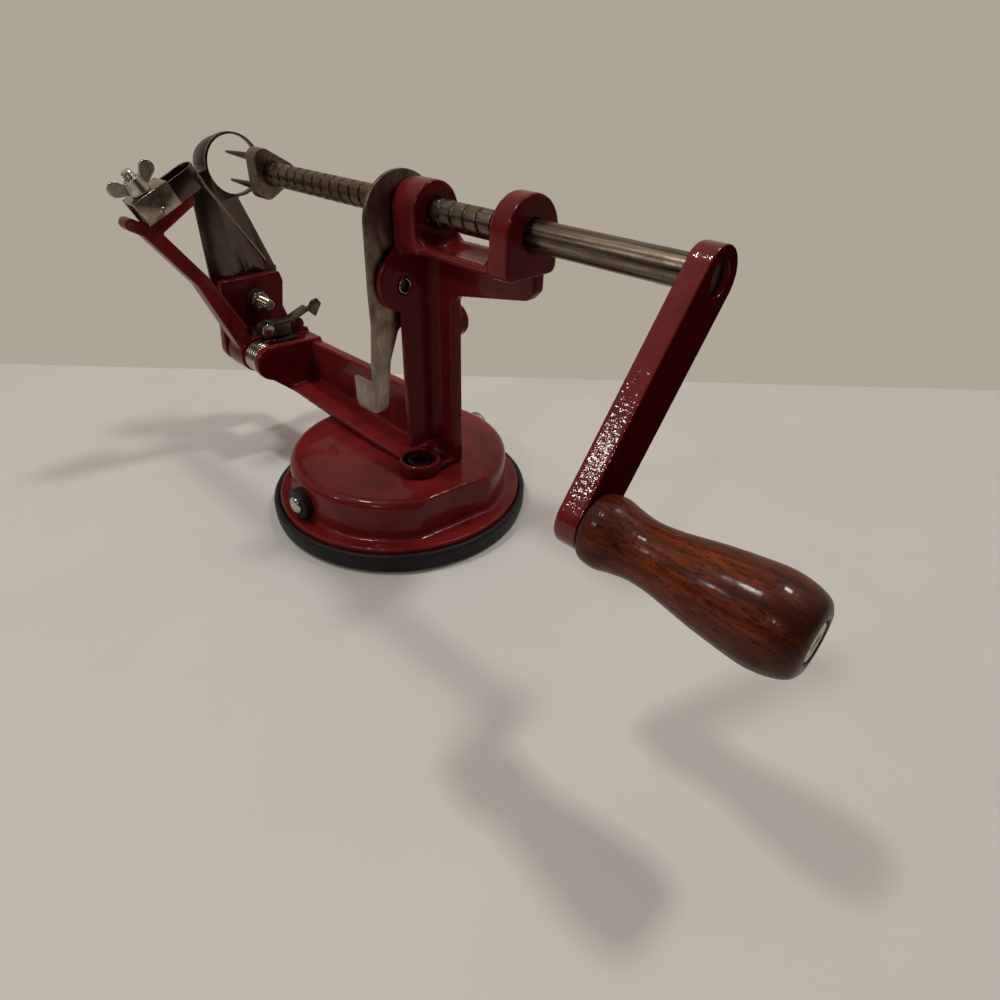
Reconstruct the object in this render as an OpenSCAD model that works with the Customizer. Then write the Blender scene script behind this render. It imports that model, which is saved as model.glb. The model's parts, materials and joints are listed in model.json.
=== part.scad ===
// Hand-cranked apple peeler, corer and slicer on a suction base.
// Millimetres. The origin is the middle of the foot on the table, +Z is up,
// and +X runs along the screw shaft towards the crank.

/* [Base] */
// Outer radius of the rubber foot
foot_r = 59; // [56:0.5:64]
// Height of the rubber foot's rim
foot_h = 9; // [8:0.25:11]
// Width of the rubber rim outside the enamelled flange
foot_lip = 3; // [2.5:0.25:4]
// Height of the seat on which the flange stands in the rubber
seat_z = 6; // [5:0.25:7]
// Thickness of the flange
flange_t = 4.5; // [4:0.25:6]
// Width of the flange outside the base wall
flange_ledge = 6.5; // [5:0.25:8]
// Height of the base's top face
base_h = 28.7; // [28:0.1:32]
// Thickness of the base wall
base_wall = 4.5; // [4:0.25:5]
// Thickness of the base's top
base_top = 4; // [3.5:0.25:4.5]
// Radius of the rounded edge round the base's top
base_edge = 4; // [2:0.5:4]
// Distance from the middle to the facet at each end of the base
base_facet = 46; // [44:0.5:48]

/* [Suction] */
// Height of the lever axle above the flange
axle_rise = 7.3; // [7.1:0.1:7.6]
// Place of the lever axle along the shaft
axle_x = -4; // [-5:0.25:-3]
// Radius of the lever axle
axle_r = 5; // [5:0.1:5.4]
// Radius of the eccentric in the middle of the axle
cam_r = 2.7; // [2.5:0.1:2.8]
// Offset of the eccentric
cam_throw = 1.9; // [1.6:0.1:2]
// Length of the lever's arm
lever_len = 46; // [40:1:52]
// Thickness of the rubber floor of the cup
cup_t = 2.5; // [2:0.1:2.7]

/* [Frame] */
// Height of the shaft's axis above the table
shaft_z = 133.4; // [128:0.2:140]
// Distance of the frame's web from the shaft's plane
web_y = 5.9; // [5:0.1:6.5]
// Thickness of the web
web_t = 5.6; // [5:0.1:6.5]
// Front face of the post
post_x = 18.2; // [17.5:0.1:19]
// Depth of the post along the shaft
post_w = 12.8; // [12:0.2:14]
// Thickness of the post's flange
post_t = 3.3; // [3.2:0.1:4]
// Near edge of the post and of the bed
near_y = 9.6; // [9:0.1:10.5]
// Height of the open end under the post's flange
post_gap = 10.3; // [9:0.1:12]
// Front face of the rear lug
rear_x = 67.6; // [64:0.2:69]
// Length of the rear lug along the shaft
rear_w = 8.4; // [7.5:0.1:9]
// Wall of the front lug round the shaft's bore
front_wall = 5.6; // [5.2:0.1:6]
// Wall of the rear lug round the shaft's bore
rear_wall = 7.2; // [6.8:0.1:7.6]
// Drop from the shaft's axis to the cradle's lip
lip_drop = 9.8; // [9.6:0.1:10]
// Thickness of the cradle under its lip
lip_t = 3.4; // [3.3:0.1:4]
// Radius of the scoop in the cradle, about the shaft's axis
scoop_r = 11.8; // [11.5:0.1:11.9]
// Height of the bed's web above the base
bed_h = 26.8; // [25:0.1:28]
// Thickness of the bed's flange
bed_t = 3; // [2.5:0.1:3.6]
// Rise of the bed's underside, in degrees
bed_rise = 4.4; // [3.5:0.1:5]
// Radius of the far-side boss on the post
far_boss_r = 6.5; // [5:0.25:7]
// Height of the far-side boss above the base
far_boss_h = 62.3; // [55:0.5:66]

/* [Screw shaft] */
// Diameter of the shaft
shaft_d = 9.5; // [9:0.1:10]
// Pitch of the thread
thread_pitch = 6.35; // [6:0.05:6.8]
// Width of the thread's groove
thread_w = 1.6; // [1.5:0.05:1.9]
// Depth of the thread's groove
thread_depth = 0.8; // [0.7:0.05:1]
// Front end of the thread
thread_x0 = -75; // [-76:0.5:-72]
// Rear end of the thread
thread_x1 = 74; // [72:1:78]
// Rear face of the fork's head
fork_x = -78; // [-79:0.5:-77]

/* [Fork] */
// Thickness of the fork's head
fork_t = 8; // [7.5:0.25:9]
// Distance of the prongs from the axis
prong_pcr = 6.8; // [6.6:0.1:7]
// Radius of the head's rounded corners
fork_corner = 4.4; // [4:0.1:4.8]
// Length of a prong in front of the head
prong_l = 26; // [22:0.5:27]
// Radius of a prong at its root
prong_r = 1.7; // [1.4:0.1:1.9]

/* [Crank] */
// Front face of the crank
crank_x = 132; // [131.5:0.1:134]
// Thickness of the crank
crank_t = 7.4; // [7:0.1:8]
// Radius from the shaft to the handle
crank_r = 70.2; // [64:0.2:76]
// Angle of the crank from straight down, towards the near side
crank_turn = 38; // [0:1:45]
// Radius of the crank's hub
crank_hub_r = 8.5; // [8:0.1:9.5]
// Radius of the crank's handle end
crank_end_r = 8.2; // [8:0.1:9]

/* [Handle] */
// Length of the wooden grip
grip_l = 58; // [52:0.5:66]
// Radius of the bulb at the crank end
grip_bulb_r = 10.1; // [9.5:0.1:11]
// Radius of the neck
grip_neck_r = 8.3; // [7.8:0.1:9]
// Largest radius of the grip
grip_big_r = 12.1; // [11.5:0.1:13]
// Radius of the grip's flat end
grip_end_r = 8.8; // [8:0.1:9.2]
// Radius of the recess for the bolt's head
grip_recess_r = 5.6; // [5.5:0.1:6]
// Depth of the recess for the bolt's head
grip_recess = 3.9; // [3.8:0.1:4.6]
// Radius of the handle bolt
bolt_r = 3; // [2.7:0.1:3.2]

/* [Release lever] */
// Thickness of the lever plate
plate_t = 1.5; // [1.4:0.1:1.7]
// Place of the roll pin towards the near side
pin_y = 8.7; // [8.2:0.1:9.2]
// Drop from the shaft's axis to the roll pin
pin_drop = 25.5; // [24.5:0.1:26.5]
// Outer radius of the roll pin
roll_r = 2.9; // [2.6:0.1:3.1]
// Radius of the frame's ear round the roll pin
ear_r = 11; // [10.8:0.1:11.6]
// Radius of the plate's head
head_r = 16.6; // [16:0.1:17]
// Length of the plate's arm below the roll pin
arm_drop = 45.4; // [40:0.2:46]
// Length of the thumb tab
tab_l = 12; // [9:0.5:13]
// Height of the thumb tab
tab_h = 12.5; // [10:0.5:14]

/* [Peel arm] */
// Place of the arm's pivot towards the near side
pivot_y = 17; // [16.6:0.1:17.4]
// Height of the arm's pivot above the base
pivot_h = 21.5; // [21:0.1:22]
// Radius of the pivot pin
pivot_r = 3; // [2.8:0.1:3.2]
// Radius of the arm's hub
hub_r = 8.5; // [8:0.1:8.8]
// Middle plane of the arm
arm_x = -96; // [-96.5:0.1:-95.5]
// Width of the arm along the shaft
arm_w = 8; // [7.4:0.1:8.4]
// Half of the arm's height
arm_half = 3.3; // [3:0.1:3.6]
// Reach of the elbow from the pivot, towards the near side
elbow_y = 35.5; // [34:0.25:37]
// Height of the elbow above the pivot
elbow_h = 63; // [60:0.25:66]
// Slope of the upper bar, in degrees
bar_slope = 26.6; // [22:0.2:30]
// Length of the upper bar
bar_l = 22; // [20:0.5:24]
// Wire diameter of the arm's spring
wire_d = 1.6; // [1.4:0.05:1.7]
// Middle radius of the arm's spring
coil_r = 7; // [6.6:0.05:7.2]
// Turns of the arm's spring
coil_turns = 4.5; // [3.5:0.25:4.75]

/* [Peel blade] */
// Thickness of the blade strip
strip_t = 0.8; // [0.7:0.05:1]
// Width of the blade strip
strip_w = 9.2; // [8.8:0.1:9.6]
// Reach of the blade past the end of the bar
blade_reach = 11; // [8:0.5:14]
// Length of the clamp
clamp_l = 17; // [16:0.25:19]
// Thickness of the clamp's sheet
clamp_t = 1.2; // [1:0.1:1.4]
// Radius of the clamp bolt
stud_r = 2.5; // [2.3:0.1:2.7]

/* [Slicer] */
// Front face of the blade holder
holder_x = -108; // [-109:0.1:-107.4]
// Thickness of the blade holder
holder_t = 5.4; // [4.8:0.1:6]
// Height of the holder's top above the base
holder_h = 54.8; // [50:0.2:58]
// Thickness of the slicer blade
blade_t = 1.6; // [1.3:0.1:2]
// Inner radius of the corer ring
ring_r = 12.8; // [12.6:0.1:13.6]
// Thickness of the corer ring
ring_t = 0.9; // [0.8:0.1:1.2]
// Width of the corer ring on its near side
ring_w = 11.5; // [10:0.25:13]
// Width of the corer ring over its top and far side
ring_w_far = 1.6; // [1.4:0.1:3]
// Near edge of the slicer blade
blade_near = 22.8; // [21:0.2:24]
// Radius of the blade bolt
blade_bolt_r = 2.6; // [2.5:0.1:2.8]
// Height of the blade bolt above the base
blade_bolt_h = 43.5; // [40:0.25:46]

/* [Latch] */
// Thickness of the latch's sheet
latch_t = 1.3; // [1.1:0.1:1.5]
// Place of the latch pin towards the near side
latch_y = 12.6; // [12.2:0.1:13]
// Height of the latch pin above the base
latch_h = 34.8; // [34.6:0.1:36]
// Radius of the latch pin
latch_r = 2; // [1.8:0.1:2.2]
// Reach of the latch's tab past its pin
latch_reach = 29; // [26:0.5:32]

/* [Fits] */
// Radial clearance of a turning or sliding pin
run_gap = 0.05; // [0.02:0.01:0.08]
// Radial clearance of a pressed or screwed pin
press_gap = 0.02; // [0.01:0.01:0.03]
// Gap between faces that move past each other
slip_gap = 0.3; // [0.25:0.05:0.4]

/* [Hidden] */
$fn = 64;
over = 1;
// Amount by which a link's sides lie inside its circles
tuck = 0.02;
// Sides of a spring's wire
wire_sides = 6;
wire_turn = 360 / wire_sides;
wire_flat = cos(180 / wire_sides);

// Colours
enamel = [0.42, 0.06, 0.07];
rubber = [0.09, 0.09, 0.09];
steel = [0.66, 0.64, 0.6];
nickel = [0.8, 0.78, 0.72];
dark_steel = [0.36, 0.34, 0.33];
wood = [0.36, 0.15, 0.08];

// Base
flange_r = foot_r - foot_lip;
flange_z = seat_z + flange_t;
wall_r = flange_r - flange_ledge;
cavity_r = wall_r - base_wall;
ceiling_z = base_h - base_top;
facet_turn = -8;
pad_set = 0.5;
pad_y = wall_r - pad_set;
pad_w = 20;
rim_round = 3;

// Suction drive: the eccentric rises as the lever is lifted a quarter turn
axle_z = flange_z + axle_rise;
cam_side = cam_throw * cos(45);
cam_x = axle_x - cam_side;
cam_z = axle_z - cam_side;
cam_half = 9;
journal_r = 3.5;
flange_gap = 0.4;
collar_r = axle_rise - flange_gap;
collar_t = 4;
cap_r = 3.9;
cap_t = 2;
cap_slope = 1.2;
slot_gap = 0.2;
yoke_wall = 3.2;
yoke_cap = 1.6;
yoke_half_y = 4;
yoke_lap = 1;
stud_head_r = 8;
stud_head_t = 2.2;
stud_neck_r = 3.2;
cup_boss_r = 12;
cup_roof = 2;
rubber_gap = 0.1;
rim_inset = 1;
lever_t = 4;
lever_w = 9;
lever_hub_r = axle_rise - flange_gap;
lever_hub_t = 6;
lever_stand = 3.2;
end_play = 0.2;

// Frame
shaft_r = shaft_d / 2;
bore_r = shaft_r + run_gap;
front_r = bore_r + front_wall;
rear_r = bore_r + rear_wall;
web_far = web_y + web_t;
post_x1 = post_x + post_w;
rear_x1 = rear_x + rear_w;
lip_z = shaft_z - lip_drop;
cradle_z = lip_z - lip_t;
bed_z = base_h + bed_h;
rib_end = rear_x1 - 4;
rib_drop = 10.4;
rib_taper = 5.8;
rib_foot = 5;
rib_round = 3.5;
rib_fill = 3;
lug_round = 3;
cradle_set = 0.7;
lip_fill = 3.5;
lip_bevel = 1.8;
post_fill = 2.5;
post_low = base_h + post_gap;
bed_flat_x = -12;
bed_start = 14;
block_t = 4.5;
block_x1 = -74.5;
block_x0 = block_x1 - block_t;
block_heel = [-2, 0.4];
pivot_z = base_h + pivot_h;
latch_z = base_h + latch_h;
foot_pad_r = 9;
foot_pad_h = 6.3;
foot_pad_floor = 1.8;
foot_pad_well = 7;
foot_pad = [post_x + 5.8, -7.5];
rear_screw = [-14, web_y + web_t / 2];
screw_r = 2;
screw_head_r = 3.6;
screw_head_h = 3.2;
screw_key = 3;
foot_head_r = 5.4;
foot_head_h = 3.6;
foot_key = 5;
socket_floor = 1.2;
screw_bite = 5.6;
far_boss_t = 4;

// Release lever
pin_z = shaft_z - pin_drop;
plate_x1 = post_x - slip_gap;
plate_x0 = plate_x1 - plate_t;
ear_low = 1;
ear_high = 8;
ear_wall = 5.2;
pocket_r = ear_r - ear_wall;
pocket_floor = 1;
pocket_t = post_t - pocket_floor;
eye_gap = 1.45;
eye_shift = 1.25;
eye_r = shaft_r + eye_gap;
tooth_gap = 0.2;
tooth_half_z = 1.1;
tooth_t = 0.8;
tooth_lap = 0.6;
tab_set = 0.4;
tab_sink = 3.2;
tab_cut = 2.4;
tab_cut_mid = 0.7;
tooth_r = shaft_r - thread_depth + tooth_gap;
tooth_x = (plate_x0 + plate_x1) / 2;
plate_head = [-5, shaft_z - 3.8];
plate_waist = [-pin_y - 1.3, pin_z - 1.4];
waist_r = 12;
arm_top = [-pin_y - 6.8, pin_z - 14.4];
arm_mid = [-pin_y - 10.1, pin_z - 28];
arm_tip = [-pin_y - 11.6, pin_z - arm_drop];
arm_top_r = 6.3;
arm_mid_r = 4.3;
arm_tip_r = 3.4;
pin_lead = 0.8;
pin_wall = 0.8;
pin_slit = 1;
lever_wire = 0.6;
lever_coil_turns = 1.5;
lever_coil_space = 0.5;
lever_coil_pitch = lever_wire + lever_coil_space;
lever_coil_leg = 0.5;
lever_coil_r = (pocket_r + roll_r) / 2;

// Screw shaft, fork and crank
thread_root = shaft_r - thread_depth;
thread_sides = 12;
head_x0 = fork_x - fork_t;
fork_socket = 5;
socket_x = fork_x - fork_socket;
prong_tip_r = 0.6;
prong_seat = 5;
prong_land = 2;
tang_r = 2;
tang_l = 20;
tang_play = 0.4;
crank_x1 = crank_x + crank_t;
shaft_end = crank_x1 - 2;
grip_y = -crank_r * sin(crank_turn);
grip_z = shaft_z - crank_r * cos(crank_turn);
grip_x = crank_x1 + slip_gap;
grip_x1 = grip_x + grip_l;
washer_t = 0.8;
washer_r = grip_recess_r - 0.3;
bolt_head_r = 4.8;
bolt_head_t = 2.6;
bolt_bite = 5;
cross_depth = 1.4;
cross_w = 1.2;
cross_l = 6;
seat_x = grip_x1 - grip_recess;

// Peel arm: the upper bar's own axes run along the bar and square to it
pivot = [-pivot_y, pivot_z];
elbow = [-pivot_y - elbow_y, pivot_z + elbow_h];
knee = [-pivot_y - 18.2, pivot_z + 39.4];
along = [cos(bar_slope), sin(bar_slope)];
square_up = [-sin(bar_slope), cos(bar_slope)];
bar_end_r = 2.4;
stub_l = 8;
stub_r = 2.6;
stub_rise = 30;
pivot_skin = 1.5;
arm_root = arm_half + 1.8;
hub_x1 = block_x0 - 11.3;
hub_x0 = holder_x + 3.3;
arm_x0 = arm_x - arm_w / 2;
arm_x1 = arm_x + arm_w / 2;
tooth_out = 3;
tooth_start = 59;
tooth_end = 71;
tooth_w = 3.2;
strip_in = arm_w / 2 + press_gap;
strip_out = strip_in + strip_t;
clamp_in = strip_out + press_gap;
clamp_out = clamp_in + clamp_t;
strip_n0 = arm_half - 0.8;
strip_n1 = strip_n0 + strip_w;
clamp_b0 = 1;
strip_b0 = clamp_b0 + 2;
block_b0 = clamp_b0 + 1;
clamp_lift = 0.2;
clamp_top = strip_n1 + press_gap;
blade_b1 = bar_l + blade_reach;
strip_l = blade_b1 - strip_out - strip_b0;
bolt_b = 8.2;
clamp_root = 1.8;
nut_n0 = clamp_top + clamp_t + slip_gap;
nut_h = 6;
nut_r = 4.4;
nut_top_r = nut_r - 1;
stud_show = 3;
stud_n1 = nut_n0 + nut_h + stud_show;
wing_l = 11;
wing_tip_z = 5.8;
wing_t = 2;
wing_low = 2.4;
wing_root_r = 1.6;
wing_tip_r = 3;
dimple_r = 1.6;
dimple_top_r = 0.7;
dimple_n = 2.4;
dimple_h = 0.55;
coil_space = 0.45;
coil_pitch = wire_d + coil_space;
coil_x0 = block_x0 - press_gap - wire_d / 2 * wire_flat - coil_pitch * coil_turns;
coil_leg = 7;
coil_steps = 8;
spigot_l = 8;
spigot_r = coil_r * cos(180 / coil_steps) - wire_d / 2 - slip_gap;

// Slicer
holder_x0 = holder_x - holder_t;
holder_z = base_h + holder_h;
holder_near = -20.5;
holder_lobe = 8;
holder_low = 9;
holder_foot = 1;
holder_keel = 4;
holder_shoulder = [1.5, -5];
holder_waist = [-0.7, 9];
holder_toe = [2.5, 0];
holder_sole = [0, -2];
holder_heel = [6, -5];
holder_brow = [-6.6, 14];
blade_x1 = holder_x0;
blade_x0 = blade_x1 - blade_t;
ring_x1 = blade_x0 - press_gap;
ring_out = ring_r + ring_t;
ring_taper = 5.5;
bolt_at = [-4, base_h + blade_bolt_h];
blade_sink = 20.8;
blade_low = holder_z - blade_sink;
blade_set = 1;
blade_lap = 3;
blade_ear = [5.5, 2.5];
blade_shoulder = 11.4;
edge_out = 1.5;
edge_in = 0.5;
edge_rise = 22;
bevel_low = 7;
bevel_top = 11;
bevel_edge = 0.3;
bevel_clear = 1.5;
bevel_past = 3;
bevel_gain = 1.4;
blade_head_h = 4;
blade_nut_af = 8.5;
blade_nut_h = 4.2;
blade_washer_t = 1;
blade_washer_r = 5.2;
blade_stud = 9;

// Latch
latch_pin_at = [-latch_y, latch_z];
wall_x0 = hub_x1 + slip_gap;
wall_t = 3.7;
wall_x1 = wall_x0 + wall_t;
wall_drop = 1.5;
wall_sink = 4;
latch_x0 = wall_x1 + slip_gap;
latch_x1 = block_x0 - slip_gap;
latch_ear_r = 5;
wall_ear_r = 3.5;
latch_low = bed_z + 2.7;
latch_high = latch_z + 3.2;
latch_left = -12;
latch_right = 0.5;
wall_near = latch_left + 4;
ledge_z = bed_z + 2;
ledge_t = 6;
latch_head_r = 3.2;
latch_head_t = 1.4;
tab_rise = 5.2;
strap_back = [7, 1.6];
finger_tab = [[-8.5, -1.2], [-4, -5.5], [0, 0.5], [-2, 3.4], [-5.2, 2.6]];
nose_w = 2.5;
nose_h = 2.6;
nose_gap = 0.6;
nose_y = -latch_y - wall_ear_r - nose_gap;
nose_z = pivot_z + hub_r + tooth_out + nose_gap;

// A flat outline in Y and Z, drawn out along X
module along_x(x0, x1) {
  translate([x0, 0, 0]) rotate([90, 0, 90]) linear_extrude(x1 - x0) children();
}

// A flat outline in X and Z, drawn out along Y
module along_y(y0, y1) {
  translate([0, y1, 0]) rotate([90, 0, 0]) linear_extrude(y1 - y0) children();
}

// A round bar along X, at a place given in Y and Z
module rod_x(x0, x1, at, r) {
  translate([x0, at[0], at[1]]) rotate([0, 90, 0]) cylinder(r = r, h = x1 - x0);
}

// A tapered bar along X
module cone_x(x0, x1, at, r0, r1) {
  translate([x0, at[0], at[1]]) rotate([0, 90, 0]) cylinder(r1 = r0, r2 = r1, h = x1 - x0);
}

// A round bar along Y, at a place given in X and Z
module rod_y(y0, y1, at, r) {
  translate([at[0], y1, at[1]]) rotate([90, 0, 0]) cylinder(r = r, h = y1 - y0);
}

// The bar between two circles, bounded by their common tangents
module link_bar(a, ra, b, rb) {
  way = b - a;
  dir = atan2(way[1], way[0]);
  lean = acos((ra - rb) / norm(way));
  left = [cos(dir + lean), sin(dir + lean)];
  right = [cos(dir - lean), sin(dir - lean)];
  polygon([
    a + (ra - tuck) * left, b + (rb - tuck) * left, b + (rb - tuck) * right, a + (ra - tuck) * right
  ]);
}

// Two circles joined by their common tangents
module link(a, ra, b, rb) {
  translate(a) circle(r = ra);
  translate(b) circle(r = rb);
  link_bar(a, ra, b, rb);
}

// A hexagon across its flats
module hexagon(across) {
  circle(d = across / cos(30), $fn = 6);
}

// Swept wire for the springs
function unit(v) = v / norm(v);
function heading(p, i) = unit(p[min(i + 1, len(p) - 1)] - p[max(i - 1, 0)]);
function wire_ring(c, t, r) =
  let (u = unit(cross(t, [1, 0, 0])), w = cross(u, t))
  [for (k = [0:wire_sides - 1]) c + r * (cos(wire_turn * k) * u + sin(wire_turn * k) * w)];
function wire_side(i, k) = wire_sides * i + k % wire_sides;

module wire(p, r) {
  last = len(p) - 1;
  points = [for (i = [0:last]) each wire_ring(p[i], heading(p, i), r)];
  sides = [for (i = [0:last - 1], k = [0:wire_sides - 1]) each [
    [wire_side(i, k), wire_side(i, k + 1), wire_side(i + 1, k)],
    [wire_side(i, k + 1), wire_side(i + 1, k + 1), wire_side(i + 1, k)]
  ]];
  ends = [for (k = [1:wire_sides - 2]) each [
    [0, wire_side(0, k + 1), wire_side(0, k)],
    [wire_side(last, 0), wire_side(last, k), wire_side(last, k + 1)]
  ]];
  polyhedron(points, concat(sides, ends));
}

// A torsion spring about an axis along X, with a straight leg at each end
function coil_point(x0, at, r, pitch, angle) =
  [x0 + pitch * angle / 360, at[0] + r * cos(angle), at[1] + r * sin(angle)];
function leg_end(p, angle, length) = p + length * [0, -sin(angle), cos(angle)];
function coil(x0, at, r, pitch, start, turns, leg) =
  let (steps = ceil(coil_steps * turns), turn = 360 * turns / steps, x = x0 - pitch * start / 360,
       body = [for (i = [0:steps]) coil_point(x, at, r, pitch, start + turn * i)])
  concat([leg_end(body[0], start, -leg)], body, [leg_end(body[steps], start + 360 * turns, leg)]);
function least_gap(p, r) =
  let (apart = coil_steps - 3)
  min([for (i = [0:len(p) - apart - 1], j = [i + apart:len(p) - 1]) norm(p[i] - p[j])]) - 2 * r;

peel_coil = coil(coil_x0, pivot, coil_r, coil_pitch, 90, coil_turns, coil_leg);
lever_coil_l = lever_coil_pitch * lever_coil_turns;
lever_coil_x0 = post_x + pocket_t - press_gap - lever_wire / 2 * wire_flat - lever_coil_l;
lever_coil = coil(lever_coil_x0, [-pin_y, pin_z], lever_coil_r, lever_coil_pitch, 0, lever_coil_turns,
  lever_coil_leg);
echo(peel_spring_gap = least_gap(peel_coil, wire_d / 2));
echo(release_spring_gap = least_gap(lever_coil, lever_wire / 2));

// Base: an enamelled shell on a round flange
module base_plan(inset) {
  intersection() {
    circle(r = wall_r - inset);
    rotate(facet_turn) square([2 * (base_facet - inset), 2 * foot_r], center = true);
  }
}

module base_dome() {
  intersection() {
    rotate_extrude() {
      translate([0, seat_z]) square([wall_r, base_h - base_edge - seat_z]);
      translate([0, seat_z]) square([wall_r - base_edge, base_h - seat_z]);
      translate([wall_r - base_edge, base_h - base_edge]) circle(r = base_edge);
    }
    linear_extrude(base_h) base_plan(0);
  }
}

module axle_pad(side) {
  y = side * pad_y / 2;
  pad_low = flange_z - over;
  pad_top = base_h - base_edge;
  translate([axle_x, y, (pad_low + pad_top) / 2]) cube([pad_w, pad_y, pad_top - pad_low], center = true);
}

module base_casting() {
  color(enamel)
  difference() {
    union() {
      translate([0, 0, seat_z]) cylinder(r = flange_r, h = flange_t);
      base_dome();
      for (side = [-1, 1]) axle_pad(side);
    }
    translate([0, 0, seat_z - over]) linear_extrude(ceiling_z - seat_z + over) base_plan(base_wall);
    rod_y(-foot_r, foot_r, [axle_x, axle_z], axle_r + run_gap);
    translate(foot_pad) cylinder(r = screw_r + press_gap, h = base_h + over);
    translate(rear_screw) cylinder(r = screw_r + slip_gap, h = base_h + over);
  }
}

// Rubber cup: a rim round the flange, a thin floor and a boss for the stud
module suction_cup() {
  rim_in = cavity_r - rim_inset;
  color(rubber)
  difference() {
    union() {
      rotate_extrude() {
        square([rim_in + over, cup_t]);
        translate([rim_in, 0]) square([foot_r - rim_in - rim_round, foot_h]);
        translate([rim_in, 0]) square([foot_r - rim_in, foot_h - rim_round]);
        translate([foot_r - rim_round, foot_h - rim_round]) circle(r = rim_round);
      }
      cylinder(r = cup_boss_r, h = cup_t + stud_head_t + cup_roof);
    }
    translate([0, 0, seat_z]) cylinder(r = flange_r + rubber_gap, h = foot_h);
    translate([0, 0, cup_t]) cylinder(r = stud_head_r + rubber_gap, h = stud_head_t + rubber_gap);
    translate([0, 0, cup_t]) cylinder(r = stud_neck_r + rubber_gap, h = foot_h);
  }
}

// Stud that lifts the rubber floor: the eccentric works in its slot
module pull_stud() {
  slot_half = cam_r + slot_gap;
  slot_x0 = cam_x - (cam_throw - cam_side) - slot_half;
  slot_x1 = cam_x + slot_half;
  yoke_x0 = slot_x0 - yoke_wall;
  yoke_x1 = stud_neck_r + yoke_lap;
  yoke_z0 = cam_z - slot_half - yoke_cap;
  yoke_z1 = cam_z + slot_half + yoke_cap;
  head_z = cup_t + press_gap;
  color(steel)
  difference() {
    union() {
      translate([0, 0, head_z]) cylinder(r = stud_head_r, h = stud_head_t);
      translate([0, 0, head_z]) cylinder(r = stud_neck_r, h = yoke_z0 - head_z + over);
      translate([yoke_x0, -yoke_half_y, yoke_z0])
        cube([yoke_x1 - yoke_x0, 2 * yoke_half_y, yoke_z1 - yoke_z0]);
    }
    translate([slot_x0, -yoke_half_y - over, cam_z - slot_half])
      cube([slot_x1 - slot_x0, 2 * (yoke_half_y + over), 2 * slot_half]);
  }
}

// Axle across the base, with an eccentric in the middle and a journal at each end
module cam_axle() {
  color(steel)
  union() {
    for (side = [-1, 1]) {
      inner = side * cam_half;
      outer = side * (pad_y + end_play);
      tip = side * (pad_y + end_play + collar_t);
      rod_y(min(inner, outer), max(inner, outer), [axle_x, axle_z], axle_r);
      rod_y(min(inner, tip), max(inner, tip), [axle_x, axle_z], journal_r);
    }
    rod_y(-cam_half - over, cam_half + over, [cam_x, cam_z], cam_r);
  }
}

module axle_collar() {
  y1 = -pad_y - end_play - slip_gap;
  color(rubber)
  difference() {
    rod_y(y1 - collar_t + slip_gap, y1, [axle_x, axle_z], collar_r);
    rod_y(y1 - collar_t - over, y1 + over, [axle_x, axle_z], journal_r + press_gap);
  }
}

module axle_cap() {
  y0 = -pad_y - end_play - collar_t;
  color(nickel)
  translate([axle_x, y0, axle_z]) rotate([90, 0, 0]) cylinder(r1 = cap_r, r2 = cap_r - cap_slope, h = cap_t);
}

// Lever at the far end of the axle, curved to lie along the base wall
module lever_plan() {
  in_r = wall_r + lever_stand;
  span = lever_len / in_r * 180 / PI;
  start = 90 + asin(-axle_x / in_r);
  reach = 2 * foot_r;
  intersection() {
    difference() {
      circle(r = in_r + lever_t);
      circle(r = in_r);
    }
    polygon([[0, 0], for (k = [0:2]) reach * [cos(start + span * k / 2), sin(start + span * k / 2)]]);
  }
}

module suction_lever() {
  y0 = pad_y + end_play + slip_gap;
  color(dark_steel)
  difference() {
    union() {
      rod_y(y0, y0 + lever_hub_t, [axle_x, axle_z], lever_hub_r);
      translate([0, 0, axle_z - lever_w / 2]) linear_extrude(lever_w) lever_plan();
    }
    rod_y(y0 - over, y0 + lever_hub_t + over, [axle_x, axle_z], journal_r + press_gap);
  }
}

// Frame: a web on the far side with flanges on the near side
module frame_web() {
  bed_end = holder_x0;
  rib_low = cradle_z - rib_drop - rib_taper;
  rise = (bed_flat_x - bed_end) * tan(bed_rise);
  polygon([
    [post_x1, base_h], [post_x1, rib_low - rib_fill], [post_x1 + rib_fill, rib_low],
    [post_x1 + rib_foot, rib_low], [rib_end - rib_round, cradle_z - rib_drop],
    [rib_end, cradle_z - rib_drop + rib_round], [rib_end, cradle_z + over],
    [post_x, cradle_z + over], [post_x, bed_z], [bed_end, bed_z], [bed_end, base_h + rise],
    [bed_flat_x, base_h]
  ]);
}

module bed_flange() {
  rise = (bed_flat_x - block_x0) * tan(bed_rise);
  polygon([
    [bed_start, base_h], [bed_start, base_h + bed_t], [bed_flat_x, base_h + bed_t],
    [block_x0, base_h + bed_t + rise], [block_x0, base_h + rise], [bed_flat_x, base_h]
  ]);
}

// A lug has a round head and rounded lower corners
module lug_outline(r) {
  corner_z = cradle_z + lug_round;
  translate([0, shaft_z]) circle(r = r);
  translate([-r, corner_z]) square([2 * r, shaft_z - corner_z]);
  translate([lug_round - r, cradle_z]) square([2 * (r - lug_round), shaft_z - cradle_z]);
  for (side = [-1, 1]) translate([side * (r - lug_round), corner_z]) circle(r = lug_round - tuck);
}

// The cradle widens from the front lug to the rear lug
module cradle() {
  front_y = front_r - cradle_set;
  rear_y = rear_r - cradle_set;
  translate([0, 0, cradle_z]) linear_extrude(lip_t) polygon([
    [post_x + over, -front_y], [post_x1, -front_y], [rear_x, -rear_y], [rear_x + over, -rear_y],
    [rear_x + over, rear_y], [rear_x, rear_y], [post_x1, front_y], [post_x + over, front_y]
  ]);
  along_y(-front_y, front_y) lip_corner(post_x1, 1);
  along_y(-rear_y, rear_y) lip_corner(rear_x, -1);
}

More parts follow.
